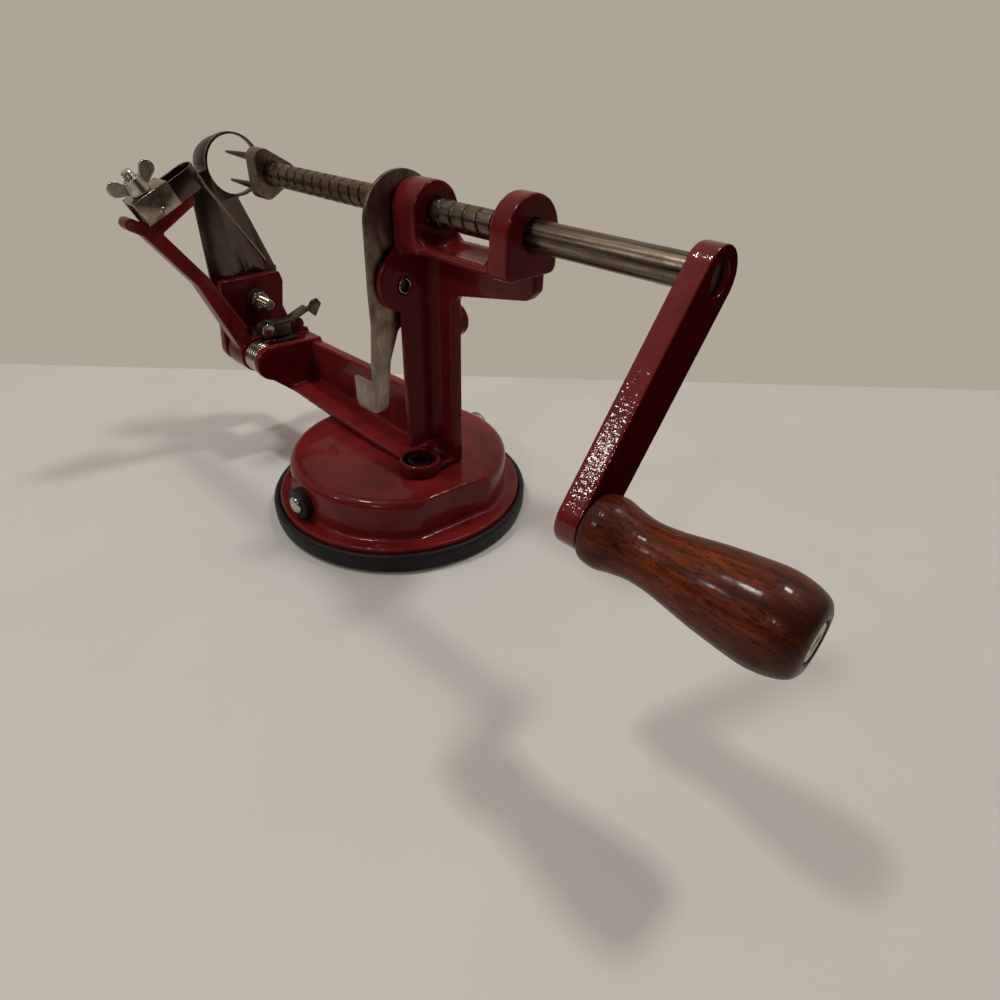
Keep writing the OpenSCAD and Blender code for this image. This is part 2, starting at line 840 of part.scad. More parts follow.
// Fill in the corner between a lug and the cradle's lip
module lip_corner(x, side) {
  polygon([
    [x - side * over, lip_z - over], [x - side * over, lip_z + lip_fill], [x, lip_z + lip_fill],
    [x + side * lip_fill, lip_z], [x + side * lip_fill, lip_z - over]
  ]);
}

// Cut along the lower near edge of the cradle
module lip_cut() {
  start = [post_x1, cradle_set - front_r];
  way = [rear_x, cradle_set - rear_r] - start;
  translate([start[0], start[1], cradle_z]) rotate([0, 0, atan2(way[1], way[0])]) rotate([45, 0, 0])
    translate([0, -lip_t, -lip_t]) cube([norm(way), lip_t + lip_bevel * sin(45), 2 * lip_t]);
}

// Fill in the corner between the post's flange and the web
module post_corner() {
  x = post_x + post_t;
  translate([0, 0, post_low]) linear_extrude(cradle_z + over - post_low) polygon([
    [x - over, web_y + over], [x - over, web_y - post_fill], [x, web_y - post_fill],
    [x + post_fill, web_y], [x + post_fill, web_y + over]
  ]);
}

module post_outline() {
  translate([-near_y, post_low]) square([near_y + web_far, lip_z - post_low]);
  link([-pin_y, pin_z + ear_low], ear_r, [0, pin_z + ear_high], ear_r);
}

module block_outline() {
  rise = (bed_flat_x - block_x0) * tan(bed_rise);
  translate(pivot) circle(r = hub_r);
  polygon([
    pivot + [0, hub_r], [web_y + over, ledge_z], [web_y + over, base_h + rise],
    [-near_y, base_h + rise], pivot - [0, hub_r] + block_heel
  ]);
}

module holder_outline() {
  top = [web_far, holder_z];
  foot = [web_far, bed_z + holder_foot];
  low = base_h + holder_low;
  translate(pivot) circle(r = holder_lobe);
  polygon([
    [holder_near, holder_z], top, top + holder_shoulder, foot + holder_waist, foot + holder_toe,
    foot + holder_sole, [web_far, low], [web_y - holder_keel, low], pivot + holder_heel,
    pivot - [holder_lobe, 0], pivot + holder_brow
  ]);
}

module latch_wall() {
  link(latch_pin_at, wall_ear_r, [web_y, latch_z - wall_drop], wall_ear_r);
  translate([wall_near, bed_z - wall_sink]) square([web_far - wall_near, latch_z - bed_z]);
}

module latch_ledge() {
  translate([wall_near, ledge_z - ledge_t]) square([web_far - wall_near, ledge_t]);
}

module frame_casting() {
  color(enamel)
  difference() {
    union() {
      along_y(web_y, web_far) frame_web();
      along_y(-near_y, web_y + over) bed_flange();
      along_x(post_x, post_x + post_t) post_outline();
      post_corner();
      along_x(post_x, post_x1) lug_outline(front_r);
      along_x(rear_x, rear_x1) lug_outline(rear_r);
      cradle();
      rod_y(web_far - over, web_far + far_boss_t, [post_x + post_w / 2, base_h + far_boss_h], far_boss_r);
      along_x(block_x0, block_x1) block_outline();
      rod_x(block_x0 - spigot_l, block_x0 + over, pivot, spigot_r);
      along_x(wall_x0, block_x1) latch_ledge();
      along_x(wall_x0, wall_x1) latch_wall();
      along_x(holder_x0, holder_x) holder_outline();
      translate([foot_pad[0], foot_pad[1], base_h]) cylinder(r = foot_pad_r, h = foot_pad_h);
      translate([post_x, foot_pad[1], base_h]) cube([post_w, web_far - foot_pad[1], bed_t]);
    }
    rod_x(post_x1, rear_x, [0, shaft_z], scoop_r);
    lip_cut();
    rod_x(post_x - over, rear_x1 + over, [0, shaft_z], bore_r);
    rod_x(post_x - over, post_x + post_t + over, [-pin_y, pin_z], roll_r + press_gap);
    rod_x(post_x - over, post_x + pocket_t, [-pin_y, pin_z], pocket_r);
    rod_x(holder_x0 + pivot_skin, block_x1 - pivot_skin, pivot, pivot_r + press_gap);
    rod_x(holder_x0 - over, holder_x + over, bolt_at, blade_bolt_r + press_gap);
    rod_x(wall_x0 - over, wall_x1 + over, latch_pin_at, latch_r + press_gap);
    translate([foot_pad[0], foot_pad[1], base_h - over]) cylinder(r = screw_r + slip_gap, h = foot_pad_h);
    translate([foot_pad[0], foot_pad[1], base_h + foot_pad_floor])
      cylinder(r = foot_pad_well, h = foot_pad_h);
    translate([rear_screw[0], rear_screw[1], base_h - over])
      cylinder(r = screw_r + press_gap, h = screw_bite + over);
  }
}

// Screw with its head down and a hexagon socket in the head
module socket_screw(shank, head_r, head_h, key) {
  difference() {
    union() {
      translate([0, 0, -head_h]) cylinder(r = head_r, h = head_h);
      cylinder(r = screw_r, h = shank);
    }
    translate([0, 0, -head_h - over]) linear_extrude(head_h - socket_floor + over) hexagon(key);
  }
}

// Screw in the well of the frame's foot, into the base's top
module foot_screw() {
  color(steel)
  translate([foot_pad[0], foot_pad[1], base_h + foot_pad_floor]) mirror([0, 0, 1])
    socket_screw(foot_pad_floor + base_top, foot_head_r, foot_head_h, foot_key);
}

// Screw from inside the base into the frame's bed
module bed_screw() {
  color(steel)
  translate([rear_screw[0], rear_screw[1], ceiling_z])
    socket_screw(base_top + screw_bite - end_play, screw_head_r, screw_head_h, screw_key);
}

// Split spring pin on which the release lever turns
module roll_pin() {
  x0 = plate_x0 - pin_lead;
  x1 = post_x + post_t + pin_lead;
  color(nickel)
  difference() {
    rod_x(x0, x1, [-pin_y, pin_z], roll_r);
    rod_x(x0 - over, x1 + over, [-pin_y, pin_z], roll_r - pin_wall);
    translate([x0 - over, -pin_y - pin_slit / 2, pin_z]) cube([x1 - x0 + 2 * over, pin_slit, roll_r + over]);
  }
}

// Release lever: its tooth rides in the thread until the thumb tab is pressed
module lever_outline() {
  link(plate_head, head_r, plate_waist, waist_r);
  link(plate_waist, waist_r, arm_top, arm_top_r);
  link(arm_top, arm_top_r, arm_mid, arm_mid_r);
  link(arm_mid, arm_mid_r, arm_tip, arm_tip_r);
  translate([arm_tip[0] - arm_tip_r + tuck, arm_tip[1] - arm_tip_r + tuck]) square(arm_tip_r);
}

module tab_outline() {
  polygon([
    [0, tab_h], [0, tab_cut], [tab_cut_mid, tab_cut_mid], [tab_cut, 0], [tab_l, 0], [tab_l, tab_h]
  ]);
}

module release_lever() {
  tab_y = arm_tip[0] - arm_tip_r;
  tooth_root = eye_r - eye_shift + tooth_lap;
  color(steel)
  difference() {
    union() {
      difference() {
        along_x(plate_x0, plate_x1) lever_outline();
        rod_x(plate_x0 - over, plate_x1 + over, [eye_shift, shaft_z], eye_r);
      }
      translate([tooth_x - tooth_t / 2, -tooth_root, shaft_z - tooth_half_z])
        cube([tooth_t, tooth_root - tooth_r, 2 * tooth_half_z]);
      translate([plate_x1 - tab_l, tab_y - tab_set + plate_t, arm_tip[1] - tab_sink])
        rotate([90, 0, 0]) linear_extrude(plate_t) tab_outline();
    }
    rod_x(plate_x0 - over, plate_x1 + over, [-pin_y, pin_z], roll_r + run_gap);
  }
}

module release_spring() {
  color(nickel) wire(lever_coil, lever_wire / 2);
}

// Screw shaft: a rod with a right-hand helical groove in step with the lever's tooth
function groove_ring(i) =
  let (a = 180 + 360 * i / thread_sides, x = tooth_x + thread_pitch * i / thread_sides)
  [for (p = [[-1, thread_root], [1, thread_root], [1, shaft_r + over], [-1, shaft_r + over]])
    [x + p[0] * thread_w / 2, p[1] * cos(a), shaft_z + p[1] * sin(a)]];
function groove_side(i, k) = 4 * i + k % 4;

module groove_cutter() {
  first = ceil((thread_x0 - tooth_x) / thread_pitch * thread_sides);
  last = floor((thread_x1 - tooth_x) / thread_pitch * thread_sides);
  n = last - first;
  points = [for (i = [first:last]) each groove_ring(i)];
  sides = [for (i = [0:n - 1], k = [0:3]) each [
    [groove_side(i, k), groove_side(i + 1, k), groove_side(i, k + 1)],
    [groove_side(i, k + 1), groove_side(i + 1, k), groove_side(i + 1, k + 1)]
  ]];
  ends = [[0, 1, 2], [0, 2, 3], [4 * n, 4 * n + 2, 4 * n + 1], [4 * n, 4 * n + 3, 4 * n + 2]];
  polyhedron(points, concat(sides, ends));
}

module screw_shaft() {
  color(steel)
  difference() {
    rod_x(socket_x, shaft_end, [0, shaft_z], shaft_r);
    groove_cutter();
    rod_x(socket_x - over, socket_x + tang_l + tang_play, [0, shaft_z], tang_r + run_gap);
  }
}

// Fork: a three-lobed head with a prong in each lobe
function prong_at(k) = [prong_pcr * cos(120 * k), shaft_z + prong_pcr * sin(120 * k)];

module fork_head() {
  axis = [0, shaft_z];
  color(dark_steel)
  difference() {
    union() {
      for (k = [0:2]) rod_x(head_x0, fork_x, prong_at(k), fork_corner);
      for (k = [0:2])
        along_x(head_x0, fork_x) link_bar(prong_at(k), fork_corner, prong_at(k + 1), fork_corner);
    }
    rod_x(socket_x, fork_x + over, axis, shaft_r + press_gap);
    for (k = [0:2]) rod_x(head_x0 - over, head_x0 + prong_seat, prong_at(k), prong_r + press_gap);
  }
}

module fork_prongs() {
  color(dark_steel)
  for (k = [0:2]) {
    rod_x(head_x0 - prong_land, head_x0 + prong_seat, prong_at(k), prong_r);
    cone_x(head_x0 - prong_l, head_x0 - prong_land, prong_at(k), prong_tip_r, prong_r);
  }
}

// Round core inside the front end of the shaft
module fork_stud() {
  color(steel)
  rod_x(socket_x + press_gap, socket_x + tang_l, [0, shaft_z], tang_r);
}

// Crank and handle
module crank_arm() {
  color(enamel)
  difference() {
    union() {
      rod_x(crank_x, crank_x1, [0, shaft_z], crank_hub_r);
      rod_x(crank_x, crank_x1, [grip_y, grip_z], crank_end_r);
      along_x(crank_x, crank_x1) link_bar([0, shaft_z], crank_hub_r, [grip_y, grip_z], crank_end_r);
    }
    rod_x(crank_x - over, crank_x1 + over, [0, shaft_z], shaft_r + press_gap);
    rod_x(crank_x - over, crank_x1 + over, [grip_y, grip_z], bolt_r + press_gap);
  }
}

module handle_bolt() {
  head_x = seat_x + slip_gap + washer_t;
  at = [grip_y, grip_z];
  color(nickel)
  difference() {
    union() {
      rod_x(crank_x1 - bolt_bite, head_x + over, at, bolt_r);
      rod_x(head_x, head_x + bolt_head_t, at, bolt_head_r);
    }
    for (turn = [0, 90]) translate([head_x + bolt_head_t, grip_y, grip_z]) rotate([turn, 0, 0])
      cube([2 * cross_depth, cross_w, cross_l], center = true);
  }
}

module handle_washer() {
  x0 = seat_x + slip_gap;
  at = [grip_y, grip_z];
  color(steel)
  difference() {
    rod_x(x0, x0 + washer_t, at, washer_r);
    rod_x(x0 - over, x0 + washer_t + over, at, bolt_r + press_gap);
  }
}

// Stations of the turned grip, from the crank outwards: place along it and radius
grip_stations = [
  [0, grip_bulb_r - 1.6], [1.2, grip_bulb_r - 0.4], [5, grip_bulb_r], [9.5, grip_bulb_r - 1],
  [15, grip_neck_r], [22, grip_neck_r + 0.5], [grip_l - 25, (grip_neck_r + grip_big_r) / 2 + 0.5],
  [grip_l - 14, grip_big_r - 0.1], [grip_l - 9, grip_big_r], [grip_l - 4.5, grip_big_r - 0.9],
  [grip_l - 1.4, grip_end_r + 0.9], [grip_l, grip_end_r - 1.2]
];
// Smooth curve through the stations
function grip_curve(i, t) =
  let (n = len(grip_stations) - 1, a = grip_stations[max(i - 1, 0)], b = grip_stations[i],
       c = grip_stations[min(i + 1, n)], d = grip_stations[min(i + 2, n)])
  0.5 * (2 * b + t * (c - a) + t * t * (2 * a - 5 * b + 4 * c - d) + t * t * t * (3 * b - a - 3 * c + d));
function grip_profile() =
  [for (i = [0:len(grip_stations) - 2], t = [0, 0.34, 0.67]) grip_curve(i, t)];

module wood_grip() {
  outline = concat(grip_profile(), [grip_stations[len(grip_stations) - 1]]);
  color(wood)
  translate([grip_x, grip_y, grip_z]) rotate([0, 90, 0]) difference() {
    rotate_extrude() polygon(concat([[0, 0]], [for (p = outline) [p[1], p[0]]], [[0, grip_l]]));
    translate([0, 0, -over]) cylinder(r = bolt_r + run_gap, h = grip_l + 2 * over);
    translate([0, 0, grip_l - grip_recess]) cylinder(r = grip_recess_r, h = grip_recess + over);
  }
}

// Peel arm
function bar_point(b, n) = elbow + b * along + n * square_up;

module arm_outline() {
  link(pivot, arm_root, knee, arm_half);
  link(knee, arm_half, elbow, arm_half);
  link(elbow, arm_half, bar_point(bar_l, arm_half - bar_end_r), bar_end_r);
  link(elbow, stub_r, elbow + stub_l * [-cos(stub_rise), sin(stub_rise)], stub_r);
}

// Places its children on the upper bar: X along the bar, Y square to it, Z along the shaft
module on_bar() {
  translate([arm_x, elbow[0], elbow[1]]) rotate([bar_slope, 0, 0]) rotate([90, 0, 90]) children();
}

// Bore for the clamp bolt, square to the bar
module clamp_bore() {
  translate([bolt_b, -clamp_root, 0]) rotate([-90, 0, 0])
    cylinder(r = stud_r + press_gap, h = stud_n1 + clamp_root);
}

module hub_tooth() {
  polygon([
    pivot, pivot + (hub_r + tooth_out) * [cos(tooth_start), sin(tooth_start)],
    pivot + (hub_r + tooth_out) * [cos(tooth_end), sin(tooth_end)]
  ]);
}

module peel_arm() {
  color(enamel)
  difference() {
    union() {
      along_x(arm_x0, arm_x1) arm_outline();
      rod_x(hub_x0, hub_x1, pivot, hub_r);
      along_x(hub_x1 - tooth_w, hub_x1) hub_tooth();
      on_bar() translate([block_b0, 0, -arm_w / 2]) cube([clamp_b0 + clamp_l - block_b0, strip_n1, arm_w]);
    }
    rod_x(hub_x0 - over, hub_x1 + over, pivot, pivot_r + run_gap);
    on_bar() clamp_bore();
  }
}

module pivot_pin() {
  color(steel) rod_x(holder_x0 + pivot_skin + slip_gap, block_x1 - pivot_skin - slip_gap, pivot, pivot_r);
}

module peel_spring() {
  color(nickel) wire(peel_coil, wire_d / 2);
}

// Peeling blade: a strip bent to a U that stands over the end of the bar
module blade_plan(half) {
  translate([0, -half]) square([strip_l, 2 * half]);
  translate([strip_l, 0]) circle(r = half);
}

module peel_blade() {
  color(dark_steel)
  on_bar() translate([strip_b0, strip_n1, 0]) rotate([90, 0, 0]) linear_extrude(strip_w) difference() {
    blade_plan(strip_out);
    blade_plan(strip_in);
    translate([-over, -strip_in]) square([2 * over, 2 * strip_in]);
  }
}

// Folded clamp over the legs of the blade
module blade_clamp() {
  low = strip_n0 + clamp_lift;
  color(nickel)
  difference() {
    union() {
      on_bar() translate([clamp_b0, low, 0]) difference() {
        translate([0, 0, -clamp_out]) cube([clamp_l, clamp_top + clamp_t - low, 2 * clamp_out]);
        translate([-over, -over, -clamp_in]) cube([clamp_l + 2 * over, clamp_top - low + over, 2 * clamp_in]);
      }
      on_bar() translate([clamp_b0 + clamp_l / 2, low + dimple_n, clamp_out - dimple_h])
        cylinder(r1 = dimple_r, r2 = dimple_top_r, h = 2 * dimple_h);
    }
    on_bar() clamp_bore();
  }
}

// Stud screwed into the bar, on which the wing nut turns
module clamp_bolt() {
  color(nickel)
  on_bar() translate([bolt_b, -clamp_root + press_gap, 0]) rotate([-90, 0, 0])
    cylinder(r = stud_r, h = stud_n1 + clamp_root);
}

module wing_nut() {
  color(nickel)
  on_bar() translate([bolt_b, nut_n0, 0]) rotate([-90, 0, 0]) difference() {
    union() {
      cylinder(r1 = nut_r, r2 = nut_top_r, h = nut_h);
      for (side = [0, 180]) rotate([90, 0, side]) translate([0, 0, -wing_t / 2]) linear_extrude(wing_t)
        link([nut_top_r, wing_low], wing_root_r, [wing_l - wing_tip_r, wing_tip_z], wing_tip_r);
    }
    translate([0, 0, -over]) cylinder(r = stud_r + run_gap, h = nut_h + wing_l);
  }
}

// Slicer blade: a plate under the corer ring, ground to an edge on the far side
edge_low = [web_far + edge_out, blade_low + edge_rise];
edge_top = [-edge_in, shaft_z - ring_out];
ridge_low = edge_low - [bevel_low, 0];
ridge_top = [edge_top[0] - bevel_top, edge_top[1] - bevel_clear];
cut_top = edge_top + bevel_clear * unit(edge_low - edge_top);

module slicer_outline() {
  difference() {
    union() {
      polygon([
        [-blade_near, blade_low], [web_far - blade_set, blade_low], edge_low, edge_top,
        [0, shaft_z - ring_r + blade_lap], [blade_lap - ring_r, shaft_z],
        [-ring_out - blade_ear[0], shaft_z - blade_ear[1]], [-blade_near, shaft_z - blade_shoulder]
      ]);
      translate([0, shaft_z]) circle(r = ring_out);
    }
    translate([0, shaft_z]) circle(r = ring_r);
  }
}

// Wedge that is ground away in front of the edge
module bevel_cutter() {
  side = unit(edge_top - edge_low);
  out = bevel_past * [side[1], -side[0]];
  depth = (blade_t - bevel_edge) * bevel_gain;
  low = [ridge_low, ridge_top, cut_top + out, edge_low + out];
  drop = [0, 0, depth, depth];
  points = [
    for (k = [0:3]) [blade_x1 - drop[k], low[k][0], low[k][1]],
    for (k = [0:3]) [blade_x1 + over, low[k][0], low[k][1]]
  ];
  faces = [
    [0, 2, 1], [0, 3, 2], [4, 5, 6], [4, 6, 7], [0, 1, 5], [0, 5, 4], [1, 2, 6], [1, 6, 5],
    [2, 3, 7], [2, 7, 6], [3, 0, 4], [3, 4, 7]
  ];
  polyhedron(points, faces);
}

module slicer_blade() {
  color(dark_steel)
  difference() {
    along_x(blade_x0, blade_x1) slicer_outline();
    bevel_cutter();
    rod_x(blade_x0 - over, blade_x1 + over, bolt_at, blade_bolt_r + press_gap);
  }
}

// Corer ring: a strip that narrows towards the far side
module corer_ring() {
  slant = (ring_w - ring_w_far) / (ring_out - ring_taper);
  side = 2 * ring_out;
  color(dark_steel)
  difference() {
    rod_x(ring_x1 - ring_w - over, ring_x1, [0, shaft_z], ring_out);
    rod_x(ring_x1 - ring_w - 2 * over, ring_x1 + over, [0, shaft_z], ring_r);
    translate([0, 0, shaft_z - side]) linear_extrude(2 * side) polygon([
      [ring_x1 - ring_w - slant * ring_out, -side], [ring_x1 - ring_w_far, -ring_taper],
      [ring_x1 - ring_w_far, side], [ring_x1 - 4 * ring_w, side], [ring_x1 - 4 * ring_w, -side]
    ]);
  }
}

// Bolt through the blade and its holder, with its thread towards the crank
module blade_bolt() {
  x1 = holder_x + blade_washer_t + blade_nut_h + blade_stud;
  color(nickel)
  union() {
    rod_x(blade_x0 - over, x1, bolt_at, blade_bolt_r);
    along_x(blade_x0 - blade_head_h, blade_x0) translate(bolt_at) hexagon(blade_nut_af);
  }
}

module blade_washer() {
  color(nickel)
  difference() {
    rod_x(holder_x, holder_x + blade_washer_t, bolt_at, blade_washer_r);
    rod_x(holder_x - over, holder_x + blade_washer_t + over, bolt_at, blade_bolt_r + press_gap);
  }
}

module blade_nut() {
  x0 = holder_x + blade_washer_t;
  color(nickel)
  difference() {
    along_x(x0, x0 + blade_nut_h) translate(bolt_at) hexagon(blade_nut_af);
    rod_x(x0 - over, x0 + blade_nut_h + over, bolt_at, blade_bolt_r + press_gap);
  }
}

// Latch for the peel arm: folded sheet with a pawl over the hub and a finger tab
module latch_lever() {
  tip = [latch_reach - latch_y, latch_high + tab_rise];
  strap_end = tip - strap_back;
  color(steel)
  difference() {
    union() {
      along_x(latch_x0, latch_x0 + latch_t) {
        translate(latch_pin_at) circle(r = latch_ear_r);
        translate([-latch_y, latch_low]) square([latch_right + latch_y, latch_high + latch_t - latch_low]);
      }
      for (z = [latch_low, latch_high]) translate([latch_x0, latch_left, z])
        cube([latch_x1 - latch_x0, latch_right - latch_left, latch_t]);
      along_x(latch_x0, latch_x1) polygon([
        [latch_right - over, latch_high], strap_end, strap_end + [0, latch_t],
        [latch_right - over, latch_high + latch_t]
      ]);
      along_x(latch_x1 - latch_t, latch_x1) polygon([for (corner = finger_tab) tip + corner]);
      along_x(latch_x0, latch_x0 + latch_t) translate([nose_y - nose_w, nose_z])
        square([nose_w + latch_ear_r, nose_h]);
      along_x(arm_x1 + slip_gap, latch_x0 + latch_t) translate([nose_y - nose_w, nose_z])
        square([nose_w, nose_h]);
    }
    rod_x(latch_x0 - over, latch_x0 + latch_t + over, latch_pin_at, latch_r + run_gap);
  }
}

module latch_pin() {
  head_x = latch_x0 + latch_t + slip_gap;
  color(nickel)
  union() {
    rod_x(wall_x0 + end_play, head_x + over, latch_pin_at, latch_r);
    rod_x(head_x, head_x + latch_head_t, latch_pin_at, latch_head_r);
  }
}

base_casting();
suction_cup();
pull_stud();
cam_axle();
axle_collar();
axle_cap();
suction_lever();
frame_casting();
foot_screw();
bed_screw();
roll_pin();
release_lever();
release_spring();
screw_shaft();
fork_head();
fork_prongs();
fork_stud();
crank_arm();
handle_bolt();
handle_washer();
wood_grip();
peel_arm();
pivot_pin();
peel_spring();
peel_blade();
blade_clamp();
clamp_bolt();
wing_nut();
slicer_blade();
corer_ring();
blade_bolt();
blade_washer();
blade_nut();
latch_lever();
latch_pin();
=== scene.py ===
"""Apple peeler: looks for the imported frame. Metres, the same frame as the solids."""
import json
import math

import bmesh
import bpy
from mathutils import Matrix, Vector


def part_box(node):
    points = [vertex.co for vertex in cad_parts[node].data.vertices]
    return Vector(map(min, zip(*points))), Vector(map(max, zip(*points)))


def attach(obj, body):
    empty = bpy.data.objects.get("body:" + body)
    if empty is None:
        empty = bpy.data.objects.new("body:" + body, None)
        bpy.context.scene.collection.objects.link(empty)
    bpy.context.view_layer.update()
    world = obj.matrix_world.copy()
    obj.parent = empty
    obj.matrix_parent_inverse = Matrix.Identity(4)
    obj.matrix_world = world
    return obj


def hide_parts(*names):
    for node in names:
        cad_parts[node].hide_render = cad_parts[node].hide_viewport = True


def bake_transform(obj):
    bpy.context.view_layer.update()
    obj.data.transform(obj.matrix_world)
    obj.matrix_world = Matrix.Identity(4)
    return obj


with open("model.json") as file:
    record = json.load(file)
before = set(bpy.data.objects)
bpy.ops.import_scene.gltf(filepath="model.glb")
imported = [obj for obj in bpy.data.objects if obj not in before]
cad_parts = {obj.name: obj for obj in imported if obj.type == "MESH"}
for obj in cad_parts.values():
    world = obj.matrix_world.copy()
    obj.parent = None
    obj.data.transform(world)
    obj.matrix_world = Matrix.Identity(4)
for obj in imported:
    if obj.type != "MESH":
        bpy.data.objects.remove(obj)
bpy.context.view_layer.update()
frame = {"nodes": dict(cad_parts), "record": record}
nodes = frame["nodes"]
record = frame["record"]
scene = bpy.context.scene

BODY_OF = {n: b for b, group in record["behaviour"]["bodies"].items() for n in group}
MM = 0.001


# Materials

class Shader:
    """A node material with short calls for the nodes that it needs."""

    def __init__(self, name):
        self.material = bpy.data.materials.new(name)
        self.material.use_nodes = True
        self.tree = self.material.node_tree
        self.bsdf = self.tree.nodes["Principled BSDF"]
        self.coords = self.add("ShaderNodeTexCoord").outputs

    def add(self, kind, **values):
        node = self.tree.nodes.new(kind)
        for key, value in values.items():
            setattr(node, key, value)
        return node

    def link(self, source, target):
        self.tree.links.new(source, target)

    def fill(self, socket, value):
        """Links a node's output to a socket, or sets a colour or a number on it."""
        if isinstance(value, bpy.types.NodeSocket):
            self.link(value, socket)
        else:
            socket.default_value = (*value, 1) if isinstance(value, tuple) else value

    def stretched(self, scale):
        """Object coordinates, scaled by a different amount along each axis."""
        node = self.add("ShaderNodeMapping")
        node.inputs["Scale"].default_value = scale
        self.link(self.coords["Object"], node.inputs["Vector"])
        return node.outputs["Vector"]

    def noise(self, scale, detail=3.0, rough=0.5, vector=None, distortion=0.0):
        node = self.add("ShaderNodeTexNoise")
        node.inputs["Scale"].default_value = scale
        node.inputs["Detail"].default_value = detail
        node.inputs["Roughness"].default_value = rough
        node.inputs["Distortion"].default_value = distortion
        self.link(vector or self.coords["Object"], node.inputs["Vector"])
        return node.outputs["Fac"]

    def ramp(self, value, *stops):
        """Colour ramp through (position, colour) stops; a number stands for a grey."""
        node = self.add("ShaderNodeValToRGB")
        points = node.color_ramp.elements
        while len(points) < len(stops):
            points.new(1.0)
        for point, (position, colour) in zip(points, stops):
            point.position = position
            point.color = (*colour, 1) if isinstance(colour, tuple) else (colour, colour, colour, 1)
        self.link(value, node.inputs["Fac"])
        return node.outputs["Color"]

    def mix(self, factor, a, b, blend="MIX"):
        node = self.add("ShaderNodeMix", data_type="RGBA", blend_type=blend)
        for socket, value in ((0, factor), (6, a), (7, b)):
            self.fill(node.inputs[socket], value)
        return node.outputs[2]

    def math(self, operation, a, b=0.0):
        node = self.add("ShaderNodeMath", operation=operation)
        for socket, value in ((0, a), (1, b)):
            self.fill(node.inputs[socket], value)
        return node.outputs[0]

    def axis(self, name, which="Object"):
        node = self.add("ShaderNodeSeparateXYZ")
        self.link(self.coords[which], node.inputs["Vector"])
        return node.outputs[name]

    def span(self, axis, start, end):
        """A value that grows from 0 to 1 between two places along an axis."""
        node = self.add("ShaderNodeMapRange")
        self.link(self.axis(axis), node.inputs["Value"])
        node.inputs["From Min"].default_value = start
        node.inputs["From Max"].default_value = end
        return node.outputs["Result"]

    def bump(self, height, strength, distance, layer="Normal"):
        node = self.add("ShaderNodeBump")
        node.inputs["Strength"].default_value = strength
        node.inputs["Distance"].default_value = distance
        self.link(height, node.inputs["Height"])
        self.link(node.outputs["Normal"], self.bsdf.inputs[layer])

    def set(self, **values):
        for name, value in values.items():
            self.fill(self.bsdf.inputs[name.replace("_", " ")], value)


def enamel(name, coat, specular, painted_shade_and_dull=0.0, grain_on_sides=0.0):
    """Glossy red enamel; faces across the shaft can lose gloss and carry painted shade in their colour, and a
    bar's sides keep the mould's grain.
    """
    s = Shader(name)
    painted_shade_colour = (0.02, 0.0015, 0.0015)
    cloud = s.noise(55, 5, 0.68)
    colour = s.ramp(cloud, (0.36, (0.104, 0.0072, 0.0072)), (0.60, (0.170, 0.0116, 0.0116)))
    speck = s.noise(900, 4, 0.65)
    colour = s.mix(s.ramp(speck, (0.70, 0.0), (0.78, 0.35)), colour, (0.28, 0.05, 0.05))
    peel = s.noise(330, 2, 0.5)
    grain = s.noise(1500, 3, 0.6)
    height = s.math("ADD", peel, s.math("MULTIPLY", grain, 0.25))
    if painted_shade_and_dull:
        across = s.math("ABSOLUTE", s.axis("X", "Normal"))
        side, face = 0.25, 0.6
        # Painted shade: faces across the shaft are darkened towards near black, standing for the shade they
        # fall in.
        colour = s.mix(s.ramp(across, (side, 0.0), (face, 0.75 * painted_shade_and_dull)), colour, painted_shade_colour)
        coat = s.ramp(across, (side, coat), (face, coat * (1 - painted_shade_and_dull)))
        specular = s.ramp(across, (side, specular), (face, specular * (1 - painted_shade_and_dull)))
    if grain_on_sides:
        sides = s.ramp(across, (side, grain_on_sides), (face, 0.0))
        s.bump(s.math("MULTIPLY", s.noise(850, 1, 0.5), sides), 0.19, 0.0006, "Coat Normal")
    s.set(Base_Color=colour, Roughness=s.ramp(s.noise(140, 3, 0.6), (0.3, 0.20), (0.75, 0.34)))
    s.set(Coat_Weight=coat, Coat_Roughness=0.05, Specular_IOR_Level=specular)
    s.bump(height, 0.2, 0.0006)
    return s.material


def rubber(name):
    s = Shader(name)
    dust = s.noise(420, 5, 0.7)
    s.set(Base_Color=s.ramp(dust, (0.35, (0.006, 0.006, 0.007)), (0.8, (0.022, 0.021, 0.021))))
    s.set(Roughness=s.ramp(s.noise(90, 3, 0.6), (0.3, 0.42), (0.7, 0.62)), Specular_IOR_Level=0.2)
    s.bump(s.noise(1600, 3, 0.6), 0.15, 0.0003)
    return s.material


def metal(name, dark, light, rough, scratch, stain=None, grime=0.0, bump=0.12, fade=None):
    """Worn metal: long scratches, stains in patches, a little grime, and a tint that fades along an axis."""
    s = Shader(name)
    lines = s.noise(1, 4, 0.7, s.stretched(scratch))
    patch = s.noise(110, 4, 0.6)
    colour = s.ramp(lines, (0.3, dark), (0.72, light))
    if stain:
        colour = s.mix(s.ramp(patch, (0.45, 0.0), (0.7, 0.75)), colour, stain)
    if grime:
        spots = s.noise(380, 5, 0.7)
        colour = s.mix(s.ramp(spots, (0.55, 0.0), (0.75, grime)), colour, (0.05, 0.035, 0.025))
    if fade:
        axis, clean_at, full_at, tint = fade
        patchy = s.ramp(patch, (0.3, 0.55), (0.7, 1.0))
        colour = s.mix(s.math("MULTIPLY", s.span(axis, clean_at, full_at), patchy), colour, tint, "MULTIPLY")
    low, high = rough
    wear = s.math("ADD", s.math("MULTIPLY", lines, 0.6), s.math("MULTIPLY", patch, 0.4))
    s.set(Base_Color=colour, Metallic=1.0, Roughness=s.ramp(wear, (0.3, low), (0.7, high)))
    s.bump(lines, bump, 0.0002)
    return s.material


